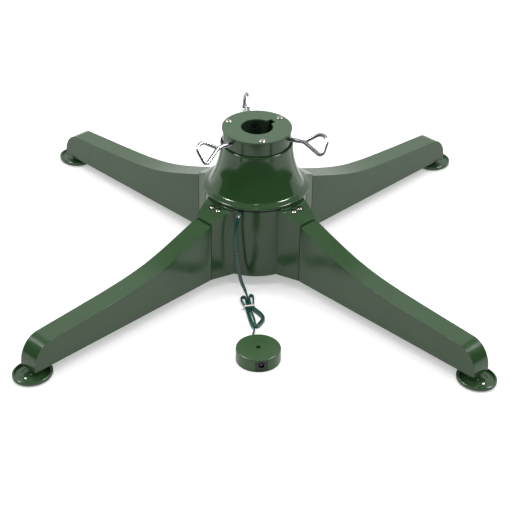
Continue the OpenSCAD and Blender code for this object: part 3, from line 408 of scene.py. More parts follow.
# For each finish: two colours and their patches' size, lowest and highest roughness and their
# patches' size, the relief's grain and depth, metal, coat and stretch. Sizes in millimetres.
looks = {
    # Moulded ABS, high gloss, with the faint waves of a large moulding.
    "absHighGloss": ("#2e4e2c", "#31522e", 45, 0.1, 0.16, 18, 6, 0.005),
    # The same ABS on the hub and the legs, where the polish is a little hazy.
    "absGloss": ("#2e4e2c", "#31522e", 45, 0.15, 0.22, 18, 6, 0.005),
    # The same ABS from a finely etched mould.
    "absSatin": ("#33562f", "#365930", 30, 0.3, 0.36, 12, 0.8, 0.006),
    # The same ABS inside and underneath, less polished.
    "absPlain": ("#2a4428", "#2e4a2b", 30, 0.42, 0.55, 9, 0.8, 0.03),
    # Satin enamel on sheet steel.
    "enamelSatin": ("#38583a", "#3c5c3d", 25, 0.34, 0.42, 10, 0.6, 0.012),
    # Thin enamel inside the steel tube, its dark tone painted shade for the inside of the bore, with rubbed
    # patches.
    "enamelShadedRubbed": ("#1d2f1f", "#24382a", 12, 0.3, 0.55, 5, 1.2, 0.02),
    # Bright zinc on drawn wire, with faint draw marks along it.
    "zincBright": ("#b4b6b8", "#a6a8aa", 3, 0.2, 0.3, 2, 0.8, 0.004, 1),
    # Nickel on screw heads, with polishing haze.
    "nickelScrew": ("#e2dcd8", "#d3cbc6", 1.5, 0.16, 0.28, 1, 0.4, 0.004, 1),
    # Cold rolled steel sheet with rolling marks.
    "steelRolled": ("#b4b7b9", "#a3a6a8", 8, 0.3, 0.45, 3, 0.5, 0.006, 1, 0, (0.12, 1, 1)),
    # Hardened bearing steel, ground.
    "steelGround": ("#c6c8ca", "#b9bcbe", 3, 0.14, 0.24, 1.5, 0.3, 0.003, 1),
    # Black oxide on set screws.
    "steelBlacked": ("#2a2b2c", "#1f2021", 1.5, 0.3, 0.45, 1, 0.3, 0.004, 1),
    # Machined brass with a light tarnish.
    "brassMachined": ("#c9a85a", "#b08f48", 4, 0.22, 0.36, 2, 0.4, 0.005, 1),
    # Natural nylon, slightly waxy.
    "nylonNatural": ("#e8e4d6", "#ddd8c6", 9, 0.4, 0.5, 4, 0.7, 0.01),
    # Black rubber with a dusty, pebbled skin.
    "rubberPebbled": ("#1b1c1c", "#272828", 4, 0.7, 0.85, 2, 0.5, 0.05),
    # Black glass-filled nylon, spark-eroded texture.
    "nylonBlack": ("#141515", "#1c1d1d", 3, 0.35, 0.5, 1, 0.25, 0.015),
    # Glass epoxy circuit board under green solder mask.
    "epoxyMasked": ("#245f35", "#2c6f3f", 3, 0.25, 0.35, 1.5, 0.4, 0.01, 0, 0.3),
    # Soft vinyl of the lead, dark teal with a wet gloss.
    "vinylTeal": ("#134840", "#19544a", 14, 0.2, 0.3, 8, 5, 0.006, 0, 0.3),
    # White paper over wire, with a creased, matt face.
    "paperTie": ("#f0efe9", "#dedcd2", 1.5, 0.6, 0.75, 1, 0.35, 0.05),
}
finish = {name: makeMaterial(name, *look) for name, look in looks.items()}
print("materials made")

slotOf = {entry["node"]: entry["material_slot"] for entry in frame["record"]["subparts"]}
finishOfSlot = {
    "green_plastic": "absHighGloss", "dark_plastic": "absPlain", "painted_plate": "enamelSatin",
    "painted_tube": "enamelShadedRubbed", "sheet_steel": "steelRolled", "hard_steel": "steelGround",
    "zinc": "zincBright", "black_steel": "steelBlacked", "brass": "brassMachined",
    "white_nylon": "nylonNatural", "black_rubber": "rubberPebbled", "black_plastic": "nylonBlack",
    "circuit_board": "epoxyMasked", "cord_vinyl": "vinylTeal", "white_tie": "paperTie",
}
for node, piece in frame["nodes"].items():
    piece.data.materials.clear()
    piece.data.materials.append(finish[finishOfSlot[slotOf[node]]])


# The cord, from the grommet to the control box.

cordPiece = built("flat_lead", lambda bm: drawCord(bm, cordPath, cordFacts, fallLength))
dressed(cordPiece, "vinylTeal", "cord_fall cord_hank cord_tail", angle=75)
print("cord made,", round(cordLength, 1), "mm long")


# Hub: a drum with four arms that the legs plug into.

m4Bore = 2.05
legTurns = {"rear_right": 45, "rear_left": 135, "front_left": 225, "front_right": 315}
hubFacts = {
    "radius": 66, "bottom": 14, "top": 110, "wall": 2.8, "bore": 46, "flange": 3,
    "armStart": 50, "armReach": 92.5, "armWidth": 47, "endWidth": 28.4, "endTop": 97.4, "shoulder": 62,
    "pocketWidth": 23, "pocketFloor": 16.6, "pocketTop": 93.3,
    "screwReach": 73, "screwSide": 5.3, "sink": 4, "sinkFloor": 103.6,
    "slotTurn": -107, "slotRadius": 3.6, "slotStart": 58.8, "slotEnd": 80, "edge": 0.6,
}


def drawArm(bm, facts, turn):
    bottom, shoulder, reach, endTop = pick(facts, "bottom shoulder armReach endTop")
    top = facts["top"] - 0.5
    line = [(facts["armStart"], top)]
    line += bezier((shoulder, top), (shoulder + 9, top - 1.5), (reach - 16, endTop + 8.5), (reach, endTop), 18)
    half, endHalf = facts["armWidth"] / 2, facts["endWidth"] / 2
    flare = sqrt(facts["radius"] ** 2 - half**2)
    rings = []
    for x, z in line:
        share = max(0, (x - flare) / (reach - flare))
        w = half + (endHalf - half) * share
        corners = [(x, -w, bottom), (x, w, bottom), (x, w, z), (x, -w, z)]
        rings.append([spun(turn) @ Vector(p) for p in corners])
    addRings(bm, rings)


def drawPockets(bm, facts):
    start, reach, low, high = pick(facts, "radius armReach pocketFloor pocketTop")
    half = facts["pocketWidth"] / 2
    for turn in legTurns.values():
        addBox(bm, (start, -half, low), (reach + 2, half, high), spun(turn))


def drawScrewSinks(bm, facts):
    reach, side, r, floor = pick(facts, "screwReach screwSide sink sinkFloor")
    low, high = facts["pocketTop"] - 2, facts["top"] + 4
    outline = [(0, low), (m4Bore, low), (m4Bore, floor), (r, floor), (r, high), (0, high)]
    for turn in legTurns.values():
        for sign in (-1, 1):
            addLathe(bm, outline, 32, spun(turn, reach, sign * side))


def drawCordSlot(bm, facts):
    r, end, top = pick(facts, "slotRadius slotEnd top")
    outline = arc(facts["slotStart"], 0, r, r, 90, 270, 12) + [(end, -r), (end, r)]
    addPrism(bm, outline, top - r, top + 5, spun(facts["slotTurn"]))


def makeHub(facts):
    r, bottom, top, bore = pick(facts, "radius bottom top bore")
    inner, ceiling, low, high = r - facts["wall"], top - facts["flange"], bottom - 2, top + 2
    hollow = [(0, low), (inner, low), (inner, ceiling), (bore, ceiling), (bore, high), (0, high)]
    solid = barred("hub_solid", r, bottom, top, 144)
    arms = [built("arm", lambda bm, t=turn: drawArm(bm, facts, t)) for turn in legTurns.values()]
    cuts = [lathed("hollow", hollow, 144)]
    for name, draw in (("pockets", drawPockets), ("sinks", drawScrewSinks), ("slot", drawCordSlot)):
        cuts.append(built(name, lambda bm: draw(bm, facts)))
    hub = combined("hub", solid, arms, cuts)
    dressed(hub, "absGloss", "hub_housing", facts["edge"], 3)


makeHub(hubFacts)
print("hub made")


# Legs: hollow arms with a sagging top line and a rounded toe.

legFacts = {
    "start": 93.2, "end": 377, "rootWidth": 28.4, "toeWidth": 26.4, "rootTop": 94.5, "endTop": 48.5,
    "bottom": 14, "toeBottom": 12.5, "toeCurve": 27, "toeLow": 16, "wall": 2.6, "edge": 1.4,
    "tongueStart": 67, "tongueWidth": 22.6, "tongueLow": 16.8, "tongueTop": 93.1,
    "postReach": 366.5, "postRadius": 6, "postTop": 29, "boreLow": 82, "postBore": (10, 30),
}


# Reach and height of the leg's side, from the hub along the top and round the toe.
def legOutline(facts, inset=0, low=None):
    curve, toeLow = pick(facts, "toeCurve toeLow")
    toe, endTop = facts["end"] - curve, facts["endTop"] - inset
    x, z = facts["start"], facts["rootTop"] - inset
    dx, dz = toe - x, endTop - z
    bends = (x + 0.38 * dx, endTop - 0.2 * dz), (x + 0.38 * dx, endTop - 0.24 * dz)
    top = bezier((x, z), *bends, (toe, endTop), 40)
    nose = arc(toe, toeLow, curve - inset, facts["endTop"] - toeLow - inset, 90, 0, 22)
    start = facts["bottom"] if low is None else low
    end = facts["toeBottom"] if low is None else low
    return [(x, start)] + top + nose[1:] + [(facts["end"] - inset, end)]


def drawLegSolid(bm, facts, turn, inset=0, low=None):
    start, end, rootWidth, toeWidth = pick(facts, "start end rootWidth toeWidth")
    rows = []
    for sign in (-1, 1):
        row = []
        for x, z in legOutline(facts, inset, low):
            width = rootWidth + (toeWidth - rootWidth) * ((x - start) / (end - start))
            row.append(spun(turn) @ Vector((max(x, start + inset), sign * (width / 2 - inset), z)))
        rows.append(row)
    addRings(bm, rows)


def makeLeg(facts, name, turn):
    start, low, high, reach = pick(facts, "tongueStart tongueLow tongueTop postReach")
    half = facts["tongueWidth"] / 2
    shell = built("shell", lambda bm: drawLegSolid(bm, facts, turn))
    hollow = built("hollow", lambda bm: drawLegSolid(bm, facts, turn, facts["wall"], 1))
    tongue = boxed("tongue", (start, -half, low), (facts["start"] + 1.3, half, high), spun(turn))
    post = barred("post", facts["postRadius"], facts["toeBottom"], facts["postTop"], 40, spun(turn, reach))

    def drawHoles(bm):
        for sign in (-1, 1):
            place = spun(turn, hubFacts["screwReach"], sign * hubFacts["screwSide"])
            addDisc(bm, m4Bore, facts["boreLow"], 100, 24, place)
        addDisc(bm, m4Bore, *facts["postBore"], 24, spun(turn, reach))

    holes = built("holes", drawHoles)
    shell = combined("shell", shell, [], [hollow])
    leg = combined("arm_" + name, shell, [tongue, post], [holes])
    dressed(leg, "absGloss", "leg_" + name, facts["edge"], 3)


for legName, legTurn in legTurns.items():
    makeLeg(legFacts, legName, legTurn)
print("legs made")


# Feet: oval dishes with a rounded rim and a post under the toe.

footFacts = {
    "reach": 371, "longer": 1.13, "padReach": 374, "radius": 22.5, "under": 1, "rimTop": 6.5, "rimWidth": 2.4,
    "round": 1.6, "fillet": 1.2, "floor": 3.2, "hill": 1.6, "slope": 14, "slopeWide": 4,
    "postRadius": 8.5, "postTop": 12.5, "flare": (2.4, 3), "padRadius": 16.2, "padThick": 1.6,
    "screwHead": 3.85, "headSeat": 4.8, "edge": 0.5,
}


def footOutline(facts):
    r, rim, under, e, fillet = pick(facts, "radius rimWidth under round fillet")
    floor, hill, slope, wide = pick(facts, "floor hill slope slopeWide")
    edge = arc(r - e, under + e, e, e, -90, 0, 6)
    lip = arc(r - rim / 2, facts["rimTop"] - rim / 2, rim / 2, rim / 2, 0, 180, 12)
    inner = arc(r - rim - fillet, floor + fillet, fillet, fillet, 0, -90, 6)
    rise = [(slope - wide * k / 8, floor + hill * (0.5 - 0.5 * cos(pi * k / 8))) for k in range(9)]
    return [(0, under)] + edge + lip[1:] + inner + rise + [(0, floor + hill)]


def makeFoot(facts, name, turn):
    r, low, high, under = pick(facts, "postRadius floor postTop under")
    (wide, tall), post = facts["flare"], spun(turn, legFacts["postReach"])
    oval = spun(turn, facts["reach"]) @ Matrix.Diagonal((facts["longer"], 1, 1, 1))
    dish = lathed("dish", footOutline(facts), 96, oval)
    turns = [radians(a) for a in range(0, 91, 15)]
    flare = [(r + wide - wide * sin(a), low + tall - tall * cos(a)) for a in turns]
    stem = [(0, under + 1), (r + wide, under + 1)] + flare + [(r, high), (0, high)]
    head, seat = pick(facts, "screwHead headSeat")
    bore = [(0, -1), (head, -1), (head, seat), (m4Bore, seat), (m4Bore, 20), (0, 20)]
    cuts = [
        barred("cuts", facts["padRadius"], -2, facts["padThick"], 64, spun(turn, facts["padReach"])),
        lathed("bore", bore, 32, post),
    ]
    foot = combined("dish_" + name, dish, [lathed("post", stem, 64, post)], cuts)
    dressed(foot, "absHighGloss", "foot_" + name, facts["edge"], 2, 40)


for legName, legTurn in legTurns.items():
    makeFoot(footFacts, legName, legTurn)
print("feet made")


# Cover: the bell over the bearing.

bellFacts = {
    "rimRadius": 46.2, "top": 176.5, "curve": 118, "wall": 1.8, "flareHeight": 119.4, "brimTop": 116,
    "brimRadius": 68.1, "brimLow": 112.8, "round": 1.6, "brimFall": 22, "flareEnds": (1.2, 2.4),
    "spigot": 64.8, "spigotWall": 2.5, "bossRing": 59, "boss": 3.5,
    "slotFrom": 55, "slotTo": 67, "slotDeep": 2.2,
}


def bellOutline(facts):
    rim, curve, wall, top, r, high = pick(facts, "rimRadius curve wall top round flareHeight")
    brim, brimTop, brimLow, (near, far) = pick(facts, "brimRadius brimTop brimLow flareEnds")

    def side(inset, high, low, steps):
        heights = [high + (low - high) * i / steps for i in range(steps + 1)]
        return [(rim - inset + curve - sqrt(curve**2 - (top - z) ** 2), z) for z in heights]

    lip = arc(rim - wall / 2, top - wall / 2, wall / 2, wall / 2, 180, 0, 12)
    outer = side(0, top - wall / 2, high, 30)
    shoulder = arc(brim - r, brimTop - r, r, r, 90 - facts["brimFall"], 0, 10)
    lean, fall = asin((top - high) / curve), radians(facts["brimFall"])
    a, d = outer[-1], shoulder[0]
    flare = bezier(
        a, (a[0] + near * sin(lean), a[1] - near * cos(lean)),
        (d[0] - far * cos(fall), d[1] + far * sin(fall)), d, 14,
    )
    edge = arc(brim - wall / 2, brimLow + wall / 2, wall / 2, wall / 2, 0, -180, 8)
    inner = [(x - 0.6 * wall, z - 0.8 * wall) for x, z in reversed(flare[1:])]
    back = list(reversed(side(wall, top - wall / 2, high, 20)))
    return lip + outer[1:] + flare[1:] + shoulder[1:] + edge + inner + back[:-1]


def makeBell(facts):
    outer, boss, ring, start, end = pick(facts, "spigot boss bossRing slotFrom slotTo")
    low, high, inner = hubFacts["top"], facts["brimTop"] - 1, outer - facts["spigotWall"]
    bell = lathed("bell", bellOutline(facts), 160)
    spigot = lathed("spigot", [(inner, low), (outer, low), (outer, high), (inner, high)], 96)

    def drawBosses(bm):
        for turn in (0, 90, 180, 270):
            addDisc(bm, boss, low, high, 32, spun(turn, ring))

    half = hubFacts["slotRadius"]
    bosses = built("bosses", drawBosses)
    high = low + facts["slotDeep"]
    slot = boxed("slot", (start, -half, low - 1), (end, half, high), spun(hubFacts["slotTurn"]))
    bell = combined("bell", bell, [spigot, bosses], [slot])
    dressed(bell, "absHighGloss", "bell_cover", 0, 2, 45)


makeBell(bellFacts)
print("bell made")


# Turning drum and its top plate.

drumFacts = {
    "radius": 43.5, "low": 165.2, "web": 3, "top": 194.4, "wall": 2.6, "tube": 22.25, "ring": 26,
    "block": 14, "bossRing": 38, "boss": 4, "screwHeight": 187, "thread": 3.05,
    "capHole": 4.6, "capHoleEnd": 25.9, "nutX": 31.9, "nutThick": 5.2, "nutWide": 10.2,
    "clampTurns": (-20, 100, 220), "bossTurns": (40, 160, 280),
    "keyTurn": 40, "keyWide": 9.6, "keyStart": 14, "keyReach": 27.1, "keyDepth": 18, "mouth": 0.5, "edge": 0.5,
}
plateFacts = {"radius": 44.4, "low": 194.4, "top": 196.3, "bore": 20.4, "edge": 0.45}


# The plate screws' holes, from low to high.
def drawScrewHoles(bm, low, high, steps):
    for turn in drumFacts["bossTurns"]:
        addDisc(bm, m4Bore, low, high, steps, spun(turn, drumFacts["bossRing"]))


# The keyway, from low to high.
def drawKeyway(bm, low, high):
    start, end, half = drumFacts["keyStart"], drumFacts["keyReach"], drumFacts["keyWide"] / 2
    addBox(bm, (start, -half, low), (end, half, high), spun(drumFacts["keyTurn"]))


def makeDrum(facts):
    r, low, top, tube, ring, height = pick(facts, "radius low top tube ring screwHeight")
    inner, floor = r - facts["wall"], low + facts["web"]
    shell = lathed("drum", [
        (tube, low), (r, low), (r, top), (inner, top), (inner, floor), (ring, floor), (ring, top), (tube, top),
    ], 128)
    half = facts["block"] / 2
    blocks = []
    for turn in facts["clampTurns"]:
        blocks.append(boxed("block", (ring - 2, -half, low + 1), (inner + 1, half, top), spun(turn)))
    for turn in facts["bossTurns"]:
        blocks.append(barred("boss", facts["boss"], low + 1, top, 32, spun(turn, facts["bossRing"])))

    def drawBores(bm):
        bore, cap, capEnd, mouth = pick(facts, "thread capHole capHoleEnd mouth")
        wide = bore + mouth + 0.6
        steps = [
            (0, 15), (cap, 15), (cap, capEnd), (bore, capEnd),
            (bore, r - mouth - 0.1), (wide, r + 0.5), (wide, 60), (0, 60),
        ]
        for turn in facts["clampTurns"]:
            addLathe(bm, steps, 32, spun(turn) @ ontoX(height))

    def drawNuts(bm):
        x, thick, half = facts["nutX"], facts["nutThick"], facts["nutWide"] / 2
        for turn in facts["clampTurns"]:
            addBox(bm, (x, -half, height - half), (x + thick, half, top + 5), spun(turn))

    def drawHoles(bm):
        drawScrewHoles(bm, top - 9, top + 3, 24)
        drawKeyway(bm, top - facts["keyDepth"], top + 3)

    cuts = [built("bores", drawBores), built("nuts", drawNuts), built("holes", drawHoles)]
    drum = combined("drum", shell, blocks, cuts)
    dressed(drum, "absHighGloss", "clamp_drum", facts["edge"], 2, 40)


def makePlate(facts):
    low, high = facts["low"] - 2, facts["top"] + 2
    plate = barred("plate", facts["radius"], facts["low"], facts["top"], 144)
    cuts = [
        barred("bore", facts["bore"], low, high, 96),
        built("key", lambda bm: drawKeyway(bm, low, high)),
        built("holes", lambda bm: drawScrewHoles(bm, low, high, 32)),
    ]
    plate = combined("plate", plate, [], cuts)
    dressed(plate, "enamelSatin", "top_plate", facts["edge"], 3, 40)


makeDrum(drumFacts)
makePlate(plateFacts)
print("drum and plate made")


# Screws with a cross recess.

screwFacts = {
    "plate": {"shank": 2, "length": 9, "head": 3.7, "height": 2, "turns": (22, 65, -15)},
    "leg": {"shank": 2, "length": 20, "head": 2.85, "height": 3.4, "turns": (10, 55, 80, 30, -20, 38, 64, 5)},
    "foot": {"shank": 2, "length": 17, "head": 3.8, "height": 2.2, "turns": (12, 48, 71, -9)},
    "pitch": 1.4, "depth": 0.35, "recess": 0.62, "recessWide": 0.26, "recessDeep": 0.55,
}


# Pan heads with a cross recess, and shanks with a wood-screw thread.
def makeScrews(kind, places):
    facts = screwFacts[kind]
    head, tall, shank, length = pick(facts, "head height shank length")
    pitch, depth, recess, recessWide, recessDeep = pick(screwFacts, "pitch depth recess recessWide recessDeep")

    ball = 1.6 * head
    first = asin(0.97 * head / ball)
    crown = [
        (ball * sin(a), tall - ball + ball * cos(a)) for a in (first * (1 - k / 8) for k in range(9))
    ]
    crown[-1] = (0, tall)
    side = [(0, -0.02), (head - 0.25, -0.02), (head, 0.25), (head, crown[0][1] - 0.1)]
    a, b = recess * head, recessWide * head / 2
    cross = [
        (a, -b), (a, b), (b, b), (b, a), (-b, a), (-b, b),
        (-a, b), (-a, -b), (-b, -b), (-b, -a), (b, -a), (b, -b),
    ]
    cut = built("cross", lambda bm: addPrism(bm, cross, tall - tall * recessDeep, tall + 1))
    one = combined("head", lathed("head", side + crown, 40), [], [cut])

    thread = [(0, 0), (shank, 0)]
    z = -0.6
    while z > -length + 1.5:
        thread += [(shank - depth, z), (shank, z - depth), (shank, z - 0.5), (shank - depth, z - 0.5 - depth)]
        z -= pitch
    thread += [(shank - depth, -length + 1), (0, -length)]

    bm = bmesh.new()
    for place, turn in zip(places, facts["turns"]):
        scaled = Matrix(place)
        scaled.translation = scaled.translation * mm
        before = len(bm.verts)
        bm.from_mesh(one.data)
        bm.verts.ensure_lookup_table()
        bmesh.ops.transform(bm, matrix=scaled @ spun(turn), verts=bm.verts[before:])
        addLathe(bm, thread, 20, place)
    bpy.data.objects.remove(one)
    dressed(asObject(kind + "_screw_set", bm), "nickelScrew", kind + "_screws", 0, 2, 35)


upsideDown = Matrix.Rotation(radians(180), 4, "X")
makeScrews("plate", [
    spun(turn, drumFacts["bossRing"], 0, plateFacts["top"]) for turn in drumFacts["bossTurns"]
])
makeScrews("leg", [
    spun(turn, hubFacts["screwReach"], side * hubFacts["screwSide"], hubFacts["sinkFloor"])
    for turn in legTurns.values() for side in (-1, 1)
])
makeScrews("foot", [
    spun(turn, legFacts["postReach"], 0, footFacts["headSeat"]) @ upsideDown for turn in legTurns.values()
])
print("screws made")


# Eye screws: a threaded end, a plain shaft and a three-cornered loop bent from wire.

eyeFacts = {
    "tilts": (46, -6, -40), "wire": 2.5, "thread": 3, "core": 2.45, "pitch": 1,
    "tip": 2.2, "tipStart": 22.5, "threadStart": 25.6, "threadEnd": 58, "sides": 24,
    "corners": ((57, 0), (63, 0), (90, -15), (93, 24), (66.4, 2.8)), "bends": (4, 4, 9),
}


# The line through the corners, each turned on its own radius.
def roundedLine(corners, bends, steps):
    points = [Vector(c) for c in corners]
    out = [points[0]]
    for before, here, after, bend in zip(points, points[1:], points[2:], bends):
        a, b = (here - before).normalized(), (after - here).normalized()
        turn = atan2(a.x * b.y - a.y * b.x, a.dot(b))
        start = here - a * (bend * tan(abs(turn) / 2))
        centre = start + bend * copysign(1, turn) * Vector((-a.y, a.x))
        arm = start - centre
        count = max(4, round(abs(turn) / radians(steps)))
        for k in range(count + 1):
            c, s = cos(turn * k / count), sin(turn * k / count)
            out.append(centre + Vector((arm.x * c - arm.y * s, arm.x * s + arm.y * c)))
    out.append(points[-1])
    return out


def drawEye(bm, facts, place):
    wire, sides, tip, tipStart, core = pick(facts, "wire sides tip tipStart core")
    start, end = facts["threadStart"], facts["threadEnd"]
    line = roundedLine(facts["corners"], facts["bends"], 9)
    last, along = line[-1], (line[-1] - line[-2]).normalized()
    path = [Vector((p.x, 0, p.y)) for p in line]
    radii = [wire] * len(path)
    for k in range(1, 6):
        angle = radians(18 * k)
        q = last + along * wire * 0.8 * sin(angle)
        path.append(Vector((q.x, 0, q.y)))
        radii.append(max(0.12, wire * cos(angle)))
    addRings(bm, [[place @ p for p in ring] for ring in sweepRings(path, sides, radii)])
    shaft = [(0, tipStart), (tip - 0.3, tipStart), (tip, tipStart + 0.3), (tip, start)]
    addLathe(bm, shaft + [(core, start), (core, end), (0, end)], sides, place @ ontoX())
    drawThread(bm, facts, place)


# A triangular ridge wound along the shaft.
def drawThread(bm, facts, place):
    per = 20
    pitch, core, crest = pick(facts, "pitch core thread")
    start, end = facts["threadStart"] + 0.4, facts["threadEnd"] - 0.6
    count = int((end - start) / pitch * per)
    rings = []
    for i in range(count + 1):
        x = start + pitch * i / per
        share = min(1, i / per, (count - i) / per)
        top, low = core - 0.05 + (crest - core + 0.05) * share, core - 0.1
        a = 2 * pi * i / per
        profile = [(x + pitch * part, r) for part, r in ((-0.42, low), (-0.08, top), (0.08, top), (0.42, low))]
        rings.append([place @ Vector((px, r * cos(a), r * sin(a))) for px, r in profile])
    addRings(bm, rings)


def makeEyes(facts):
    for index, (turn, tilt) in enumerate(zip(drumFacts["clampTurns"], facts["tilts"]), 1):
        place = spun(turn, 0, 0, drumFacts["screwHeight"]) @ Matrix.Rotation(radians(-tilt), 4, "X")
        eye = built(f"eye_{index}", lambda bm: drawEye(bm, facts, place))
        dressed(eye, "zincBright", f"eye_screw_{index}", 0, 2, 50)


capFacts = {
    "start": 20.9, "radius": 4.5, "length": 4.5, "round": 0.9, "hole": 2.25, "holeStart": 22.4, "lip": 0.5,
}


# Swivel caps that press on the pole, with a rolled lip round the screw's tip.
def makeCaps(facts):
    a, r, e, hole, floor, lip = pick(facts, "start radius round hole holeStart lip")
    b = a + facts["length"]
    turns = [radians(15 * k) for k in range(7)]
    face = [(0, a)] + [(r - e + e * sin(t), a + e - e * cos(t)) for t in turns]
    back = [(r, b - lip), (r - lip, b), (hole + lip, b), (hole, b - lip), (hole, floor), (0, floor)]
    for index, turn in enumerate(drumFacts["clampTurns"], 1):
        cap = lathed(f"cap_{index}", face + back, 40, spun(turn) @ ontoX(drumFacts["screwHeight"]))
        dressed(cap, "zincBright", f"tip_cap_{index}", 0, 2, 50)


makeEyes(eyeFacts)
makeCaps(capFacts)
print("eye screws made")


# Control box: a round cover with a sunk screw, and the power inlet.

boxFacts = {
    "at": (4.1, -224.3, 0), "radius": 27.3, "height": 17.4, "base": 2.2, "wall": 2, "round": 1.6,
    "hole": 3.1, "holeFloor": 8.5, "tube": 4.6, "tubeLow": 6.4, "screwHole": 1.35,
    "jackTurn": -81.5, "jackWide": 14.6, "jackLow": 2.4, "jackHigh": 14.9, "jackFace": 26.5, "jackBack": 15.3,
    "jackAxis": 9, "jackBore": 3.1, "jackBoreDepth": 9, "jackCollar": 5.2, "gap": 0.2,
    "cordTurn": 103, "cordHeight": 5.2, "cordHole": 3.1, "edge": 0.35,
}


def atBox(facts, turn=0):
    return Matrix.Translation(facts["at"]) @ spun(turn)


def makeCover(facts):
    r, h, e, wall, base = pick(facts, "radius height round wall base")
    low, hole, floor, shank, gap = pick(facts, "tubeLow hole holeFloor screwHole gap")
    place, half = atBox(facts), facts["jackWide"] / 2 + gap
    outline = [(0, h)] + arc(r - e, h - e, e, e, 90, 0, 8)
    outline += [(r, base), (r - wall, base), (r - wall, h - wall), (0, h - wall)]
    cover = lathed("cover", outline, 128, place)
    tube = barred("tube", facts["tube"], low, h - 0.5, 40, place)
    sink = [(0, low - 2), (shank, low - 2), (shank, floor), (hole, floor), (hole, h + 3), (0, h + 3)]
    inside = (facts["jackBack"] - gap, -half, facts["jackLow"] - gap)
    outside = (r + 5, half, facts["jackHigh"] + gap)
    inlet = atBox(facts, facts["cordTurn"]) @ ontoX(facts["cordHeight"])
    cuts = [
        lathed("hole", sink, 40, place),
        boxed("window", inside, outside, atBox(facts, facts["jackTurn"])),
        barred("inlet", facts["cordHole"], r - 4, r + 4, 32, inlet),
    ]
    cover = combined("cover", cover, [tube], cuts)
    dressed(cover, "absSatin", "control_cover", facts["edge"], 2, 40)


def makeJack(facts):
    low, high, back, face = pick(facts, "jackLow jackHigh jackBack jackFace")
    rim, bore, deep = facts["jackCollar"], facts["jackBore"], face - facts["jackBoreDepth"]
    half, place = facts["jackWide"] / 2, atBox(facts, facts["jackTurn"])
    axis = place @ ontoX(facts["jackAxis"])
    body = boxed("jack", (back, -half, low), (face, half, high), place)
    ring = [(0, face - 2), (rim, face - 2), (rim, face + 0.2), (rim - 0.4, face + 0.5), (0, face + 0.5)]
    hole = [(0, deep), (bore, deep), (bore, face - 0.1), (bore + 0.7, face + 0.7), (0, face + 0.7)]
    jack = combined("jack", body, [lathed("collar", ring, 40, axis)], [lathed("bore", hole, 40, axis)])
    dressed(jack, "nylonBlack", "dc_jack", 0.3, 2, 40)
    outline = [(0, deep), (1, deep), (1, face - 1.6), (0.8, face - 1.2), (0.4, face - 1.05), (0, face - 1)]
    dressed(lathed("pin", outline, 24, axis), "zincBright", "jack_pin", 0, 2, 50)


# A ribbed rubber nipple where the lead enters the box.
def makeBushing(facts):
    place, height = atBox(facts, facts["cordTurn"]), facts["cordHeight"]
    start = facts["radius"] - facts["wall"] - 1
    profile = (
        (0, 0), (3.1, 0), (3, 0.6), (3, 3.1), (3.4, 3.2), (3.6, 3.4),
        (3.6, 4.2), (3.4, 4.4), (2.95, 4.5), (2.8, 5), (0, 5),
    )
    body = lathed("bushing", [(r, start + x) for r, x in profile], 40, place @ ontoX(height))
    level = place @ Matrix.Translation((0, 0, height))
    slit = boxed("slit", (start - 1, -1.25, -2.45), (start + 6, 1.25, 2.45), level)
    bushing = combined("bushing", body, [], [slit])
    dressed(bushing, "rubberPebbled", "control_bushing", 0.15, 2, 40)


makeCover(boxFacts)
makeJack(boxFacts)
makeBushing(boxFacts)
print("control box made")


# Grommet in the hub's slot.

grommetFacts = {
    "end": 66.7, "radius": 3.4, "collar": 3.5, "collarStart": 65.9, "rise": 2, "drop": 0.6,
    "leadHeight": 108.8, "leadWide": 4.9, "leadThick": 2.5,
}


def makeGrommet(facts):
    a, b, r, height = pick(facts, "collarStart end collar leadHeight")
    turn, start, top = spun(hubFacts["slotTurn"]), hubFacts["slotStart"], hubFacts["top"]
    low = turn @ ontoX(top - facts["drop"])
    body = barred("grommet", facts["radius"], start, b - 0.05, 40, turn @ ontoX(top))
    ring = [(0, a), (r - 0.3, a), (r, a + 0.3), (r, b - 0.3), (r - 0.3, b), (0, b)]
    half, thick = facts["leadWide"] / 2, facts["leadThick"] / 2
    cuts = [
        boxed("top", (40, -20, top + facts["rise"]), (90, 20, top + 20), turn),
        boxed("lead", (40, -half, height - thick), (90, half, height + thick), turn),
    ]
    grommet = combined("grommet", body, [lathed("collar", ring, 40, low)], cuts)
    dressed(grommet, "rubberPebbled", "cord_grommet", 0.2, 2, 40)


makeGrommet(grommetFacts)
print("grommet made")


# Twist tie round the folded lead.

tieFacts = {
    "at": (-6.8, -119.4), "turn": 10, "length": 13.4, "width": 3, "thick": 0.5, "height": 5.3, "round": 2,
    "core": 0.35, "tailLength": 4.2, "tailTurn": 4.2, "tailRing": 0.45,
}


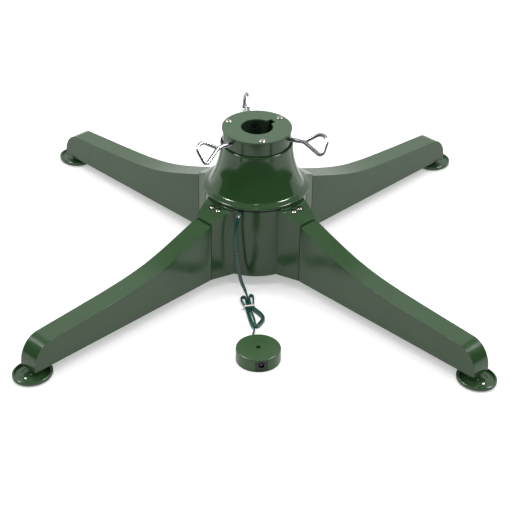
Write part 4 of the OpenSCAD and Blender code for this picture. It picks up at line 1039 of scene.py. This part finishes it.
# A paper strip with a wire down its middle, bent over the strands, its ends twisted at the left.
def makeTie(facts):
    place = Matrix.Translation((*facts["at"], 0)) @ spun(facts["turn"])
    half, high, r = facts["length"] / 2, facts["height"], facts["round"]
    wide, thick, rib = facts["width"] / 2, facts["thick"] / 2, facts["thick"] / 2 + facts["core"] * 0.6
    line = [(-half, 0.3), (-half, high - r)]
    line += arc(-half + r, high - r, r, r, 180, 90, 8)[1:]
    line += arc(half - r, high - r, r, r, 90, 0, 8)
    line += [(half, 0.3)]
    path = [Vector((x, 0, z)) for x, z in line]
    fine = []
    for p, q in zip(path, path[1:]):
        count = max(1, round((q - p).length / 0.8))
        fine += [p.lerp(q, k / count) for k in range(count)]
    fine.append(path[-1])
    section = [
        (-wide, -thick), (wide, -thick), (wide, thick), (0.5, thick + 0.05),
        (0.25, rib), (-0.25, rib), (-0.5, thick + 0.05), (-wide, thick),
    ]

    def drawStrip(bm):
        rings = []
        for i, p in enumerate(fine):
            out = Vector((0, 1, 0)).cross(heading(fine, i))
            if out.z < 0 or (abs(out.z) < 1e-6 and out.x * p.x < 0):
                out = -out
            lean = 0.16 * sin(i * 0.7)
            rings.append([place @ (p + Vector((0, y + lean, 0)) + out * n) for y, n in section])
        addRings(bm, rings)

    def drawTail(bm, turn):
        rings = []
        for k in range(17):
            t = k / 16
            angle = radians(turn) + t * facts["tailTurn"]
            outward = Vector((0, cos(angle), sin(angle)))
            across = Vector((0, -sin(angle), cos(angle))) * (0.75 - 0.15 * t)
            centre = Vector((-half - 0.3 - t * facts["tailLength"], 0.3 - t * 2.2, 1.3 - 0.1 * t))
            centre += outward * facts["tailRing"]
            corners = ((-1, -1), (1, -1), (1, 1), (-1, 1))
            rings.append([place @ (centre + a * across + b * (outward * 0.22)) for a, b in corners])
        addRings(bm, rings)

    def drawTie(bm):
        drawStrip(bm)
        drawTail(bm, 0)
        drawTail(bm, 180)

    dressed(built("twist_tie", drawTie), "paperTie", "cord_tie", 0, 2, 40)


makeTie(tieFacts)
print("tie made")


# Floor, studio light and background.

studioFacts = {
    "floor": "#bcbcbc", "floorSeen": "#f4f4f4", "floorGlow": 0.6, "nearGlow": 0.38, "fadeFrom": 0.5,
    "fadeTo": 1.5, "sky": 0.36, "ceilingGlow": 0.3, "wallGlow": 0.02,
}


# An empty node tree for a new material or world.
def emptyTree(owner):
    owner.use_nodes = True
    owner.node_tree.nodes.clear()
    return owner.node_tree


# 1 for rays from the camera, from glossy surfaces and through clear ones, or else 0.
def seenDirectly(tree):
    rays = addNode(tree, "LightPath").outputs
    seen = rays["Is Camera Ray"]
    for other in ("Is Glossy Ray", "Is Transmission Ray"):
        seen = addNode(tree, "Math", {"operation": "MAXIMUM"}, {0: seen, 1: rays[other]}).outputs["Value"]
    return seen


def makeFloor(facts):
    bm = bmesh.new()
    bmesh.ops.create_grid(bm, x_segments=8, y_segments=8, size=9)
    bmesh.ops.translate(bm, verts=bm.verts, vec=(0, 0, -0.0002))
    floor = asObject("floor", bm)
    material = bpy.data.materials.new("whiteSweepPaper")
    tree = emptyTree(material)
    camera = addNode(tree, "LightPath").outputs["Is Camera Ray"]
    colour = addNode(tree, "Mix", {
        "data_type": "RGBA", 6: linear(facts["floor"]), 7: linear(facts["floorSeen"]),
    }, {0: camera})
    matt = addNode(tree, "BsdfDiffuse", {}, {"Color": colour.outputs[2]})
    spot = addNode(tree, "TexCoord").outputs["Object"]
    away = addNode(tree, "VectorMath", {"operation": "LENGTH"}, {0: spot})
    far = addNode(tree, "MapRange", {
        "From Min": facts["fadeFrom"], "From Max": facts["fadeTo"], "To Min": facts["nearGlow"], "To Max": 1.0,
    }, {"Value": away.outputs["Value"]})
    mirrored = addNode(tree, "Math", {"operation": "MULTIPLY", 1: facts["floorGlow"]}, {0: seenDirectly(tree)})
    power = addNode(tree, "Mix", {"data_type": "FLOAT"}, {
        0: camera, 2: mirrored.outputs["Value"], 3: far.outputs["Result"],
    })
    glow = addNode(tree, "Emission", {}, {"Strength": power.outputs[0]})
    both = addNode(tree, "AddShader", {}, {0: matt.outputs["BSDF"], 1: glow.outputs["Emission"]})
    addNode(tree, "OutputMaterial", {}, {"Surface": both.outputs["Shader"]})
    floor.data.materials.append(material)


def makeWorld(facts):
    world = bpy.data.worlds.new("studio")
    bpy.context.scene.world = world
    tree = emptyTree(world)
    power = addNode(tree, "MapRange", {"To Min": facts["sky"], "To Max": 1.0}, {"Value": seenDirectly(tree)})
    sky = addNode(tree, "Background", {"Color": (1, 1, 1, 1)}, {"Strength": power.outputs["Result"]})
    addNode(tree, "OutputWorld", {}, {"Surface": sky.outputs["Background"]})


# A soft lamp that lights the object, or one that only shows as a highlight on gloss.
def makeLamp(name, spot, target, size, power, highlight):
    data = bpy.data.lights.new(name, "AREA")
    data.shape = "RECTANGLE"
    data.size, data.size_y = size
    data.energy = power
    lamp = placed(name, data)
    away = Vector(spot) - Vector(target)
    lamp.matrix_world = Matrix.Translation(spot) @ away.to_track_quat("Z", "Y").to_matrix().to_4x4()
    lamp.visible_glossy = highlight
    lamp.visible_diffuse = not highlight


# Cards that only show in reflections, as the unlit parts of a studio do.
def makeCards(name, quads, strength):
    bm = bmesh.new()
    for quad in quads:
        bm.faces.new([bm.verts.new(corner) for corner in quad])
    cards = placed(name, bpy.data.meshes.new(name))
    bm.to_mesh(cards.data)
    bm.free()
    material = bpy.data.materials.new(name)
    tree = emptyTree(material)
    glow = addNode(tree, "Emission", {"Strength": strength})
    addNode(tree, "OutputMaterial", {}, {"Surface": glow.outputs["Emission"]})
    cards.data.materials.append(material)
    for kind in ("camera", "diffuse", "shadow", "transmission"):
        setattr(cards, "visible_" + kind, False)


makeFloor(studioFacts)
makeWorld(studioFacts)

# For each lamp: place and target in metres, size, power in watts, and if it only shows on gloss.
lamps = {
    "lamp_over": ((0, 0.3, 2.4), (0, 0, 0), (2.6, 1.8), 34, False),
    "lamp_left": ((-1.7, -0.4, 1.9), (0, 0, 0.1), (1, 1.4), 15, False),
    "lamp_right": ((1.7, -0.4, 1.9), (0, 0, 0.1), (1, 1.4), 15, False),
    "gloss_left": ((-1.42, -0.2, 1.68), (0, 0, 0.1), (0.6, 0.6), 55, True),
    "gloss_right": ((1.42, -0.2, 1.68), (0, 0, 0.1), (0.6, 0.6), 55, True),
    "gloss_centre": ((0, -0.8, 2), (0, 0, 0.1), (0.22, 0.3), 4, True),
}
for lampName, lampFacts in lamps.items():
    makeLamp(lampName, *lampFacts)

# Walls in front and at both sides, dark cloths on the floor before them, and a ceiling, in metres.
roomFacts = {
    "half": 3, "front": -2.6, "back": 0.3, "height": 3.6, "ceiling": 3.3, "cloth": 0.001, "gap": 0.65,
    "gapFront": -0.38,
}
room, front, back, high, ceiling = pick(roomFacts, "half front back height ceiling")
cloth, gap, gapFront = pick(roomFacts, "cloth gap gapFront")
walls = [[(-room, front, 0), (room, front, 0), (room, front, high), (-room, front, high)]]
for x in (-room, room):
    walls.append([(x, front, 0), (x, back, 0), (x, back, high), (x, front, high)])
walls.append([(-room, front, cloth), (room, front, cloth), (gap, gapFront, cloth), (-gap, gapFront, cloth)])
for x, edge in ((-room, -gap), (room, gap)):
    walls.append([(x, front, cloth), (edge, gapFront, cloth), (edge, back, cloth), (x, back, cloth)])
makeCards("dark_walls", walls, studioFacts["wallGlow"])
above = [(-room, front, ceiling), (room, front, ceiling), (room, -front, ceiling), (-room, -front, ceiling)]
makeCards("dim_ceiling", [above], studioFacts["ceilingGlow"])
bpy.context.scene.view_settings.view_transform = "Standard"
print("studio made")
